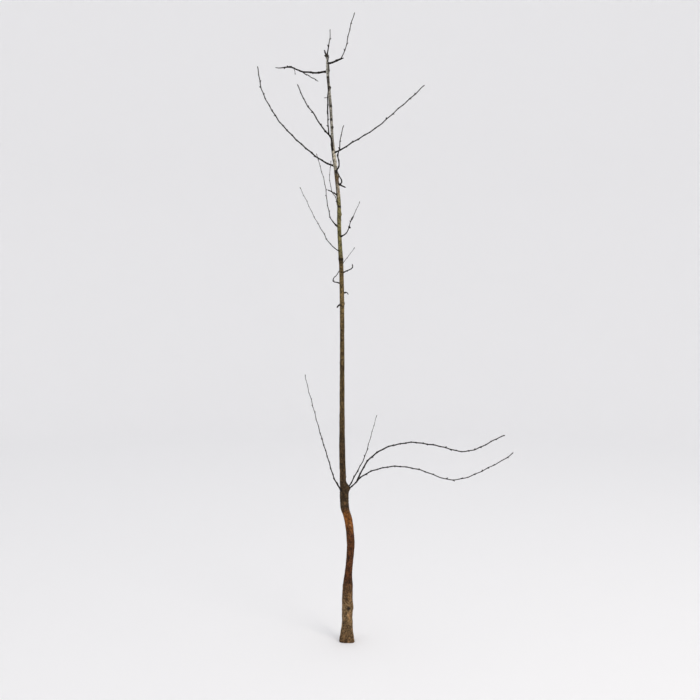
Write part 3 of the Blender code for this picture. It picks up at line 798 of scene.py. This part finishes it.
def ring_places(start, end, spacing, marks=()):
    """Return even places along a limb, with closer ones where a mark is finer than they are."""
    places = set(np.linspace(start, end, max(2, round((end - start) / spacing) + 1)).tolist())
    for mark in marks:
        if mark.tall < FINE_MARK:
            steps = range(-FINE_STEPS, FINE_STEPS + 1)
            places.update(mark.place + step * spacing * FINE_STEP for step in steps)
    kept = []
    for place in sorted(places):
        if start <= place <= end and (not kept or place - kept[-1] > spacing * LEAST_GAP):
            kept.append(place)
    kept[-1] = end
    return np.array(kept)


def sunk_start(limb, depth):
    """Return where the wood of a limb starts: at its foot, or a little inside the trunk."""
    return max(surface_crossing(limb) - depth, 0.0) if limb.carrier == "trunk" else 0.0


def season_ring(place, radius):
    """Return the ring of fine scars that the scales of an old tip bud leave on a shoot."""
    marks = [Swelling(place, 0.0, 0.0030, RING, radius * 0.10)]
    for step in (-2, -1, 0, 1, 2):
        marks.append(Swelling(place + step * 0.0009, 0.0, 0.0004, RING, radius * 0.07, 0.6))
    return marks


def bud_cushion(place, heading, radius, cushion):
    """Return the swelling that a bud sits on, and the leaf scar below the bud."""
    return [
        Swelling(place - 0.0004, 0.0, 0.0034, RING, radius * cushion * 0.60, 0.35),
        Swelling(place - 0.0010, heading, 0.0026, 62.0, radius * cushion),
        Swelling(place - 0.0022, heading, 0.0006, 50.0, radius * cushion * 0.22, 0.7),
        Swelling(place - 0.0034, heading, 0.0008, 55.0, -radius * cushion * 0.12, 0.5),
    ]


def limb_tube(limb, places, sides, marks, rough):
    """Return the rings of a limb at some places along it, and their stains."""
    centres = [limb_point(limb, place) for place in places]
    ways = [limb_direction(limb, place) for place in places]
    radii = np.array([limb_radius(limb, place) for place in places])
    return marked_rings(places, centres, ways, radii, sides, marks, rough)


def draw_in(ring, share):
    """Return a ring drawn in towards its middle."""
    middle = ring.mean(axis=0)
    return middle + (ring - middle) * share


# The end of a pruned limb: a lip of healing bark round a sunk face of weathered wood, as the
# share of the last ring's radius and the rise over that ring
LIP = ((1.04, 0.0004), (1.02, 0.0009), (0.90, 0.0012), (0.80, 0.0008),
       (0.74, 0.0001), (0.50, -0.0001), (0.20, -0.0003))
LIP_WOOD_RINGS = 3


def end_wood(skin, limb, rings, stain):
    """Add a limb's wood to a skin, with a pruning cut or a round tip at its end."""
    if limb.name not in PRUNED:
        rings[-1] = draw_in(rings[-1], ROUND_END)
        skin.add_tube(rings, stain=stain)
        return
    way = np.array(limb_direction(limb, limb.length))
    lip = np.array([draw_in(rings[-1], share) + way * rise for share, rise in LIP])
    whole = np.concatenate([rings, lip])
    finish = np.zeros((len(whole) - 1, 1), dtype=int)
    finish[-LIP_WOOD_RINGS:] = 1
    skin.add_tube(whole, finish, np.concatenate([stain, np.zeros((len(LIP), stain.shape[1]))]))


def bough_skin(limb, sizes, shoots, buds):
    """Build a limb's older wood, which last season's twigs grow on from."""
    end = limb.length * limb.twigs_from
    chance = random.Random(limb.name + " old buds")
    marks = list(LIMB_KNOTS.get(limb.name, ()))
    heading = 90.0
    for node in node_distances(limb):
        if CLEAR_OF_START < node < end - CLEAR_OF_END:
            marks += bud_cushion(node, heading, limb_radius(limb, node), shoots.cushion)
            # Three old nodes in four still bear a bud, smaller than a young one
            if chance.random() < 0.75:
                buds.append(side_bud(limb, node, heading, chance.uniform(0.55, 0.85)))
            heading = (heading + BUD_TURN) % 360.0
    if limb.twigs_from < 1.0:
        marks += season_ring(end - 0.0025, limb_radius(limb, end))
    places = ring_places(sunk_start(limb, BOUGH_SUNK), end, sizes.bough_ring, marks)
    skin = Skin()
    end_wood(skin, limb, *limb_tube(limb, places, sizes.bough_sides, marks, BOUGH_ROUGH))
    return skin


def spur_tube(skin, limb, sizes, buds):
    """Build a thorny spur of the trunk, with the close rings of its slow growth."""
    start = sunk_start(limb, BOUGH_SUNK)
    chance = random.Random(limb.name + " rings")
    marks = []
    place = start + 0.004
    while place < limb.length - 0.001:
        radius = limb_radius(limb, place)
        marks.append(Swelling(place, 0.0, 0.0006, RING, radius * chance.uniform(0.05, 0.14), 0.4))
        # About one ring in eight bears a small bud on a knot
        if chance.random() < 0.12:
            heading = chance.uniform(0.0, 360.0)
            marks.append(Swelling(place, heading, 0.0016, 60.0, radius * 0.45, 0.5))
            buds.append(side_bud(limb, place, heading, chance.uniform(0.5, 0.75)))
        place += chance.uniform(0.0012, 0.0024)
    # The rings of the skin are close enough to show the rings of growth
    places = ring_places(start, limb.length, sizes.bough_ring * 0.42)
    end_wood(skin, limb, *limb_tube(limb, places, sizes.bough_sides, marks, SPUR_ROUGH))
    if limb.name not in PRUNED:
        buds.append(tip_bud(limb))


# A bud: where its foot is, the way it points, and its size
Bud = namedtuple("Bud", "foot way length width")


def out_of(direction, heading):
    """Return the way straight out of a limb at a heading round it."""
    across = direction.cross(BACK).normalized()
    turn = math.radians(heading)
    return across * math.cos(turn) + direction.cross(across) * math.sin(turn)


def side_bud(limb, distance, heading, size=1.0):
    """Return a bud that sits on a limb's side and leans to its tip."""
    shoots = bpy.context.scene.tree_shoots
    direction = limb_direction(limb, distance)
    out = out_of(direction, heading)
    radius = limb_radius(limb, distance)
    way = (out + direction * BUD_LEAN).normalized()
    foot = limb_point(limb, distance) + out * radius * BUD_FOOT
    size *= min(max(radius / FULL_BUD_RADIUS, LEAST_BUD), 1.0)
    width = min(shoots.bud_width * size, radius * 2.0)
    return Bud(foot, way, shoots.bud_length * size, width)


def tip_bud(limb):
    """Return the bud that ends a limb, with its foot sunk 0.8 mm into the tip."""
    direction = limb_direction(limb, limb.length)
    radius = limb_radius(limb, limb.length)
    foot = limb_point(limb, limb.length) - direction * 0.0008
    return Bud(foot, direction, TIP_BUD_LENGTH + 0.0006, max(radius * 2.1, 0.0021))


def fine_twig(skin, limb, twig, shoots, buds):
    """Grow a thin twig that branches from a limb's last season, with buds of its own."""
    way = way_of(twig.front, twig.back)
    across = way.cross(BACK).normalized()
    foot = limb_point(limb, twig.start)
    radius = twig.width / 2
    spacing = INTERNODE * FINE_SPACING
    places = np.linspace(0.0, twig.length, max(6, round(twig.length / shoots.twig_ring)))
    centres = []
    for place in places:
        sway = across * FINE_SWAY * math.sin(math.pi * place / spacing)
        centres.append(foot + way * place + sway)
    marks = []
    for count, node in enumerate(np.arange(FINE_FIRST, twig.length - FINE_CLEAR, spacing)):
        heading = count * BUD_TURN
        marks += bud_cushion(node, heading, radius, shoots.cushion)
        out = out_of(way, heading)
        centre = centres[int(np.searchsorted(places, node))]
        buds.append(Bud(centre + out * radius * BUD_FOOT, (out + way * BUD_LEAN).normalized(),
                        shoots.bud_length * FINE_BUD,
                        min(shoots.bud_width * FINE_BUD, twig.width * 1.2)))
    # Its foot is 1.3 times as thick as its tip
    radii = radius * (1.3 - 0.3 * (places / twig.length))
    ways = [way] * len(places)
    rings, stain = marked_rings(places, centres, ways, radii, shoots.twig_sides, marks, BOUGH_ROUGH)
    rings[-1] = draw_in(rings[-1], ROUND_END)
    skin.add_tube(rings, stain=stain)
    buds.append(Bud(centres[-1] - way * 0.0006, way, TIP_BUD_LENGTH, 0.0021))


def twig_tube(skin, limb, shoots, buds):
    """Build a limb's last season, with its buds and side twigs."""
    end_of_bough = limb.length * limb.twigs_from
    rule_start = end_of_bough + HALF_GAP if end_of_bough else 0.0
    nodes, side_twigs = twig_nodes(limb, rule_start)
    marks = list(LIMB_KNOTS.get(limb.name, ()))
    turn = 0.0
    for node in nodes:
        radius = limb_radius(limb, node)
        if node in side_twigs:
            marks.append(Swelling(node, 0.0, 0.0035, RING, radius * 0.25))
            fine_twig(skin, limb, side_twigs[node], shoots, buds)
            continue
        heading = turn % 360.0
        marks += bud_cushion(node, heading, radius, shoots.cushion)
        buds.append(side_bud(limb, node, heading))
        turn += BUD_TURN
    start = end_of_bough - SEASON_SUNK if end_of_bough else sunk_start(limb, TWIG_SUNK)
    places = ring_places(start, limb.length, shoots.twig_ring, marks)
    rings, stain = limb_tube(limb, places, shoots.twig_sides, marks, TWIG_ROUGH)
    # The first ring hides in the bough, and the last one under the tip bud
    if end_of_bough:
        rings[0] = draw_in(rings[0], 0.7)
    rings[-1] = draw_in(rings[-1], 0.85)
    skin.add_tube(rings, stain=stain)
    buds.append(tip_bud(limb))


# Buds


# The scales of a bud: the share of its length that each reaches, and its heading round it.
# Each covers a half angle round its heading, and has a dry edge so many degrees wide.
SCALES = ((0.40, 20.0), (0.56, 164.0), (0.70, 308.0), (0.84, 92.0))
SCALE_HALF = 95.0
SCALE_FADE = 14.0
SCALE_EDGE = 22.0
SCALE_THICKNESS = 0.09


def bud_tube(skin, bud, shoots):
    """Build a pointed bud of overlapping scales, each with a dark dry edge."""
    rows, sides = shoots.bud_rings, shoots.bud_sides
    across = bud.way.cross(BACK)
    if across.length < 0.1:
        across = bud.way.cross(UP)
    across.normalize()
    over = bud.way.cross(across)
    headings = ring_headings(sides)
    turns = np.radians(headings)
    out = np.outer(np.cos(turns), across) + np.outer(np.sin(turns), over)
    # The rings stand a little closer at the tip, and the bud is widest at a quarter of its length
    shares = np.linspace(0.0, 1.0, rows) ** 0.92
    shares[-1] = 0.985
    profile = (1.0 - shares) ** 0.80 * (0.78 + 1.10 * shares) / 0.88
    cover = np.zeros((rows, sides))
    edge = np.zeros((rows, sides))
    for top, heading in SCALES:
        turn = np.abs((headings - heading + 180.0) % 360.0 - 180.0)
        half = SCALE_HALF * np.sqrt(np.clip(1.0 - (shares / top) ** 2, 0.0, 1.0))
        margin = half[:, None] - turn
        inside = np.clip(margin / SCALE_FADE + 0.5, 0.0, 1.0)
        cover += inside
        edge = np.maximum(edge * (1.0 - inside), (inside > 0.0) * (margin < SCALE_EDGE))
    radii = bud.width / 2 * (profile[:, None] + SCALE_THICKNESS * cover)
    centres = np.array(bud.foot) + np.outer(shares * bud.length, bud.way)
    rings = centres[:, None, :] + out[None, :, :] * radii[:, :, None]
    finish = (edge[:-1] > 0.5).astype(int)
    skin.add_tube(rings, finish)


# Materials


# A Mix node of two colours: its inputs, and what it is set to, for two ways of mixing
SHARE, UNDER, OVER = 0, 6, 7
MIXED = {"out": 2, "data_type": "RGBA"}
MULTIPLIED = {**MIXED, "blend_type": "MULTIPLY"}


def add_node(material, kind, inputs=(), out=0, **settings):
    """Add a node with its settings, give its inputs values or links, and return an output."""
    tree = material.node_tree
    node = tree.nodes.new("ShaderNode" + kind)
    for name, value in settings.items():
        setattr(node, name, value)
    for place, value in inputs.items() if isinstance(inputs, dict) else enumerate(inputs):
        if isinstance(value, bpy.types.NodeSocket):
            tree.links.new(value, node.inputs[place])
        else:
            node.inputs[place].default_value = value
    return node.outputs[out]


def shader_socket(material, name):
    """Return a socket of a material's shader, whose name may have _ for a space."""
    return material.node_tree.nodes["Principled BSDF"].inputs[name.replace("_", " ")]


def new_material(name, **constants):
    """Make a material whose shader has some constants. Return it, and what adds its nodes."""
    material = bpy.data.materials.new(name)
    material.use_nodes = True
    for socket, value in constants.items():
        shader_socket(material, socket).default_value = value
    return material, functools.partial(add_node, material)


def finish(material, **outputs):
    """Link outputs of nodes to sockets of a material's shader, and return the material."""
    for socket, output in outputs.items():
        material.node_tree.links.new(output, shader_socket(material, socket))
    return material


def opaque(colour):
    """Return a colour with full alpha."""
    return (*colour, 1.0)


# The colours of the trunk's bark from the ground up, each with the shares of the trunk's height
# where it starts and ends. Foot shade is painted shade: it darkens the bark at the ground, and it
# is the painted shadow of a band that crosses the trunk above the foot
BARK_ZONES = (
    ("foot_shade", 0.004), ("foot", 0.030, 0.060), ("foot_shade", 0.082), ("shank", 0.112, 0.196),
    ("knee", 0.208, 0.219), ("whorl", 0.234, 0.340), ("stem", 0.430, 0.540),
    ("brown", 0.585, 0.628), ("stem", 0.642, 0.655), ("olive", 0.668, 0.757),
    ("fawn", 0.768, 0.780), ("rust", 0.790), ("stem", 0.800), ("pale", 0.812, 0.848),
    ("grey", 0.862, 0.945), ("top", 0.962, 0.985),
)


def pear_trunk_bark(colours):
    """Young pear bark, grown smooth and corky, which starts to crack at the foot.

    It gives the eye a matt skin that goes from tan at the ground through reddish brown and
    olive to pale grey, mottled over 5 to 40 mm, with dark knots and pale lenticels. It also
    carries painted shade: on the shaded sides of the upper trunk, in a shadow band over the foot,
    in the hollows of the wrinkles and at the ground.
    """
    material, add = new_material("pear_trunk_bark", IOR=1.45, Metallic=0.0, Specular_IOR_Level=0.2)
    place = add("TexCoord", out="Object")
    # Patches of 40 mm move the borders between the colours up and down by 35 mm at most
    patches = add("TexNoise", {"Vector": place, "Scale": 1000 / 40, "Detail": 3.0})
    wander = add("Math", (patches, 0.07, -0.035), operation="MULTIPLY_ADD")
    height = add("SeparateXYZ", (place,), out="Z")
    moved = add("Math", (height, wander), operation="ADD")
    share = add("Math", (moved, TRUNK_TOP), operation="DIVIDE")
    zones = add("ValToRGB", (share,))
    elements = zones.node.color_ramp.elements
    stops = [(position, colour) for colour, *positions in BARK_ZONES for position in positions]
    for index, (position, colour) in enumerate(stops):
        element = elements[index] if index < 2 else elements.new(position)
        element.position = position
        element.color = opaque(getattr(colours, colour))
    # Mottling over 9 mm, drawn out along the stem to 20 mm, as the cork layers are
    stretched = add("Mapping", {"Vector": place, "Scale": (1.0, 1.0, 0.45)})
    mottle = add("TexNoise", {"Vector": stretched, "Scale": 1000 / 9, "Detail": 5.0,
                              "Roughness": 0.62})
    light = add("MapRange", (mottle, 0.39, 0.62, 0.58, 1.27))
    mottled = add("Mix", {SHARE: 1.0, UNDER: zones, OVER: light}, **MULTIPLIED)
    # Grain of 5 mm, which is coarser than real cork so that it shows
    grain = add("TexNoise", {"Vector": place, "Scale": 1000 / 5, "Detail": 3.0})
    flecks = add("MapRange", (grain, 0.38, 0.62, 0.44, 1.56))
    flecked = add("Mix", {SHARE: 1.0, UNDER: mottled, OVER: flecks}, **MULTIPLIED)
    # Where the stain is high the bark turns to the stain colour: at knots, scars and cracks, and as
    # painted shade on the trunk's shaded sides, in its shadow band over the foot and in the hollows
    # of its wrinkles
    stain = add("Attribute", out="Fac", attribute_name="stain")
    dark = add("MapRange", (stain, 0.08, 0.95, 0.0, 0.92))
    bare = add("MapRange", (stain, -0.10, -0.95, 0.0, 0.85))
    stained = add("Mix", {SHARE: dark, UNDER: flecked, OVER: opaque(colours.dark)}, **MIXED)
    healed = add("Mix", {SHARE: bare, UNDER: stained, OVER: opaque(colours.bare)}, **MIXED)
    rough = add("MapRange", (mottle, 0.3, 0.7, 0.88, 0.68))
    relief = add("Math", (mottle, 0.6, grain), operation="MULTIPLY_ADD")
    bump = add("Bump", {"Height": relief, "Strength": 0.6, "Distance": 0.0006})
    return finish(material, Base_Color=healed, Roughness=rough, Normal=bump)


def pear_shoot_bark(name, base, film, patch, roughness, colours):
    """Bark of a pear shoot, grown smooth over one to four years under a thin grey film.

    It gives the eye a near black, faintly satin skin whose film comes and goes over `patch`
    millimetres, with pale dots for lenticels and dark rings at the nodes.
    """
    material, add = new_material(name, IOR=1.47, Metallic=0.0, Specular_IOR_Level=0.15)
    place = add("TexCoord", out="Object")
    cloud = add("TexNoise", {"Vector": place, "Scale": 1000 / patch, "Detail": 4.0,
                             "Roughness": 0.6})
    cover = add("MapRange", (cloud, 0.48, 0.72, 0.0, 0.55))
    filmed = add("Mix", {SHARE: cover, UNDER: opaque(base), OVER: opaque(film)}, **MIXED)
    # Lenticels of 0.7 mm about 4 mm apart, a little larger than life so that they show
    cells = add("TexVoronoi", {"Vector": place, "Scale": 1000 / 4})
    dots = add("MapRange", (cells, 0.13, 0.09, 0.0, 0.30))
    dotted = add("Mix", {SHARE: dots, UNDER: filmed, OVER: opaque(colours.cut_wood)}, **MIXED)
    stain = add("Attribute", out="Fac", attribute_name="stain")
    dark = add("MapRange", (stain, 0.1, 1.0, 0.0, 0.8))
    stained = add("Mix", {SHARE: dark, UNDER: dotted, OVER: opaque(colours.scale_edge)}, **MIXED)
    rough = add("MapRange", (cloud, 0.35, 0.7, roughness, roughness + 0.2))
    relief = add("Math", (dots, 1.2, cloud), operation="MULTIPLY_ADD")
    bump = add("Bump", {"Height": relief, "Strength": 0.5, "Distance": 0.0003})
    return finish(material, Base_Color=stained, Roughness=rough, Normal=bump)


def add_grain(material, size, rough, strength, depth, **pattern):
    """Give a material grain of a size in millimetres, in its gloss and relief. Return it."""
    place = add_node(material, "TexCoord", out="Object")
    grain = add_node(material, "TexNoise", {"Vector": place, "Scale": 1000 / size, **pattern})
    relief = {"Height": grain, "Strength": strength, "Distance": depth}
    finish(material, Roughness=add_node(material, "MapRange", (grain, 0.0, 1.0, *rough)),
           Normal=add_node(material, "Bump", relief))
    return grain


def dry_bud_scale(name, colour, roughness):
    """Bud scale of a pear, a dry waxy leaf scale: plain brown with a low satin gloss."""
    material, _ = new_material(name, IOR=1.46, Metallic=0.0, Base_Color=opaque(colour))
    # Ribs of the scales, 0.5 mm apart
    add_grain(material, 0.5, (roughness - 0.08, roughness + 0.12), 0.35, 0.0001, Detail=2.0)
    return material


def weathered_pear_wood(colours):
    """End grain of pear, cut by secateurs and weathered grey: matt, with fine growth rings."""
    material, add = new_material("weathered_pear_wood", IOR=1.50, Metallic=0.0)
    # Checks and growth rings about 1 mm apart
    rings = add_grain(material, 1.0, (0.72, 0.92), 0.5, 0.0002, Detail=4.0, Roughness=0.7)
    shade = add("MapRange", (rings, 0.3, 0.7, 0.55, 1.15))
    colour = add("Mix", {SHARE: 1.0, UNDER: opaque(colours.cut_wood), OVER: shade}, **MULTIPLIED)
    return finish(material, Base_Color=colour)


def matt_floor_paint(colour):
    """Matt emulsion rolled on board: even and pale, with the faint stipple of the roller."""
    material, _ = new_material("matt_floor_paint", IOR=1.50, Metallic=0.0,
                               Base_Color=opaque(colour), Specular_IOR_Level=0.2)
    # Stipple of 4 mm, coarser than a real roller's, so that it shows close up
    add_grain(material, 4, (0.86, 0.96), 0.08, 0.0005, Detail=2.0)
    return material


def material_called(name, maker, *values):
    """Return a material that exists, or make it."""
    return bpy.data.materials.get(name) or maker(*values)


def bough_bark():
    """Return the bark of the boughs and spurs."""
    colours = bpy.context.scene.tree_colours
    return material_called("pear_bough_bark", pear_shoot_bark, "pear_bough_bark",
                           colours.bough, colours.bloom, 9.0, 0.58, colours)


def twig_bark():
    """Return the bark of the last season."""
    colours = bpy.context.scene.tree_colours
    return material_called("pear_twig_bark", pear_shoot_bark, "pear_twig_bark",
                           colours.twig, colours.bloom, 14.0, 0.44, colours)


def cut_wood():
    """Return the wood of the pruning cuts."""
    return material_called("weathered_pear_wood", weathered_pear_wood,
                           bpy.context.scene.tree_colours)


# Operators

# The buds that the boughs, spurs and twigs leave for the last operator
BUDS = []


class TREE_OT_trunk(bpy.types.Operator):
    """Add the trunk with its bark"""

    bl_idname = "tree.trunk"
    bl_label = "Trunk"

    def execute(self, context):
        scene = context.scene
        skin = trunk_skin(scene.tree_bark)
        bark = pear_trunk_bark(scene.tree_colours)
        make_piece("trunk_with_bark", skin, [bark], ["trunk"])
        return {"FINISHED"}


class TREE_OT_boughs(bpy.types.Operator):
    """Add the boughs, one piece for each"""

    bl_idname = "tree.boughs"
    bl_label = "Boughs"

    def execute(self, context):
        scene = context.scene
        for limb in LIMBS:
            if limb.twigs_from:
                skin = bough_skin(limb, scene.tree_bark, scene.tree_shoots, BUDS)
                node = limb.name + "_bough"
                materials = [bough_bark(), cut_wood()]
                make_piece(node + "_with_bark", skin, materials, [node])
        return {"FINISHED"}


class TREE_OT_spurs(bpy.types.Operator):
    """Add the thorny spurs of the trunk"""

    bl_idname = "tree.spurs"
    bl_label = "Trunk Spurs"

    def execute(self, context):
        skin = Skin()
        for limb in SPURS:
            spur_tube(skin, limb, context.scene.tree_bark, BUDS)
        names = [limb.name for limb in SPURS]
        make_piece("trunk_spurs", skin, [bough_bark(), cut_wood()], names)
        return {"FINISHED"}


class TREE_OT_twigs(bpy.types.Operator):
    """Add the twigs of the last season"""

    bl_idname = "tree.twigs"
    bl_label = "Twigs"

    def execute(self, context):
        skin = Skin()
        limbs = [limb for limb in LIMBS if limb.twigs_from < 1.0]
        for limb in limbs:
            twig_tube(skin, limb, context.scene.tree_shoots, BUDS)
        names = [limb.name + "_twigs" for limb in limbs]
        make_piece("last_season_twigs", skin, [twig_bark()], names)
        return {"FINISHED"}


class TREE_OT_buds(bpy.types.Operator):
    """Add the buds of the boughs, spurs and twigs"""

    bl_idname = "tree.buds"
    bl_label = "Buds"

    def execute(self, context):
        scene = context.scene
        colours = scene.tree_colours
        skin = Skin()
        for bud in BUDS:
            bud_tube(skin, bud, scene.tree_shoots)
        scales = dry_bud_scale("bud_scale", colours.scale, 0.45)
        edges = dry_bud_scale("bud_scale_edge", colours.scale_edge, 0.62)
        make_piece("buds", skin, [scales, edges], [])
        return {"FINISHED"}


def pale_floor(stage):
    """Make the floor: flat round the tree, then bent up into a wall all round."""
    profile = [(reach, 0.0) for reach in (*FLOOR_RINGS, stage.flat)]
    for step in range(1, BEND_STEPS + 1):
        turn = math.radians(90.0 * step / BEND_STEPS)
        profile.append((stage.flat + WALL_BEND * math.sin(turn),
                        WALL_BEND * (1.0 - math.cos(turn))))
    profile.append((stage.flat + WALL_BEND, stage.rise))
    turns = np.radians(ring_headings(FLOOR_SIDES))
    points = [(0.0, 0.0, 0.0)]
    for reach, height in profile:
        points += [(reach * math.cos(turn), reach * math.sin(turn), height) for turn in turns]
    near = 1 + np.arange(FLOOR_SIDES)
    bands = [face[::-1] for face in band_faces(1, len(profile), FLOOR_SIDES)]
    data = bpy.data.meshes.new("pale_floor")
    data.from_pydata(points, [], fan_faces(0, near, np.roll(near, -1)) + bands)
    data.shade_smooth()
    data.materials.append(matt_floor_paint(stage.floor))
    return bpy.data.objects.new("pale_floor", data)


def soft_lamp(stage):
    """Make the large soft lamp, at the front on the right."""
    lamp = bpy.data.lights.new("soft_key", "AREA")
    lamp.shape = "DISK"
    lamp.size = LAMP_SIZE
    lamp.energy = stage.key
    lamp.color = stage.key_colour
    key = bpy.data.objects.new("soft_key", lamp)
    key.location = LAMP_PLACE
    key.rotation_euler = (LAMP_AIM - key.location).to_track_quat("-Z", "Y").to_euler()
    return key


def soft_room(stage):
    """Make the world, whose even light comes from all sides."""
    world = bpy.data.worlds.new("soft_room")
    world.use_nodes = True
    background = world.node_tree.nodes["Background"]
    background.inputs["Color"].default_value = opaque(stage.sky_colour)
    background.inputs["Strength"].default_value = stage.sky
    return world


def front_camera(stage):
    """Make the camera that sees the tree from the front."""
    lens = bpy.data.cameras.new("camera")
    lens.lens = stage.lens
    lens.sensor_width = SENSOR_WIDTH
    camera = bpy.data.objects.new("camera", lens)
    camera.location = CAMERA_PLACE
    camera.rotation_euler = (math.radians(CAMERA_PITCH), 0.0, 0.0)
    return camera


class TREE_OT_stage(bpy.types.Operator):
    """Add the pale floor, the soft lights and the camera"""

    bl_idname = "tree.stage"
    bl_label = "Studio"

    def execute(self, context):
        scene = context.scene
        stage = scene.tree_stage
        floor = pale_floor(stage)
        scene.camera = front_camera(stage)
        for item in (floor, soft_lamp(stage), scene.camera):
            scene.collection.objects.link(item)
        scene.world = soft_room(stage)
        scene.view_settings.view_transform = "Standard"
        return {"FINISHED"}


class TREE_PT_panel(bpy.types.Panel):
    """Lists the pieces of the tree and their settings"""

    bl_label = "Wild Pear Tree"
    bl_idname = "TREE_PT_panel"
    bl_space_type = "VIEW_3D"
    bl_region_type = "UI"
    bl_category = "Tree"

    def draw(self, context):
        for operator in OPERATORS:
            self.layout.operator(operator.bl_idname)
        for name in GROUPS:
            box = self.layout.box()
            group = getattr(context.scene, name)
            for setting in group.__annotations__:
                box.prop(group, setting)


OPERATORS = (TREE_OT_stage, TREE_OT_trunk, TREE_OT_boughs, TREE_OT_spurs, TREE_OT_twigs,
             TREE_OT_buds)
GROUPS = {
    "tree_bark": TreeBarkSizes,
    "tree_shoots": TreeShootSizes,
    "tree_colours": TreeColours,
    "tree_stage": TreeStage,
}


def register():
    """Add the settings, operators and panel to Blender."""
    for group in GROUPS.values():
        bpy.utils.register_class(group)
    for operator in OPERATORS:
        bpy.utils.register_class(operator)
    bpy.utils.register_class(TREE_PT_panel)
    for name, group in GROUPS.items():
        setattr(bpy.types.Scene, name, PointerProperty(type=group))


def unregister():
    """Take the settings, operators and panel away again."""
    for name in GROUPS:
        delattr(bpy.types.Scene, name)
    bpy.utils.unregister_class(TREE_PT_panel)
    for operator in reversed(OPERATORS):
        bpy.utils.unregister_class(operator)
    for group in reversed(GROUPS.values()):
        bpy.utils.unregister_class(group)


def main():
    """Build the tree in its studio."""
    register()
    bpy.ops.tree.stage()
    bpy.ops.tree.trunk()
    bpy.ops.tree.boughs()
    bpy.ops.tree.spurs()
    bpy.ops.tree.twigs()
    bpy.ops.tree.buds()


if __name__ == "__main__":
    main()
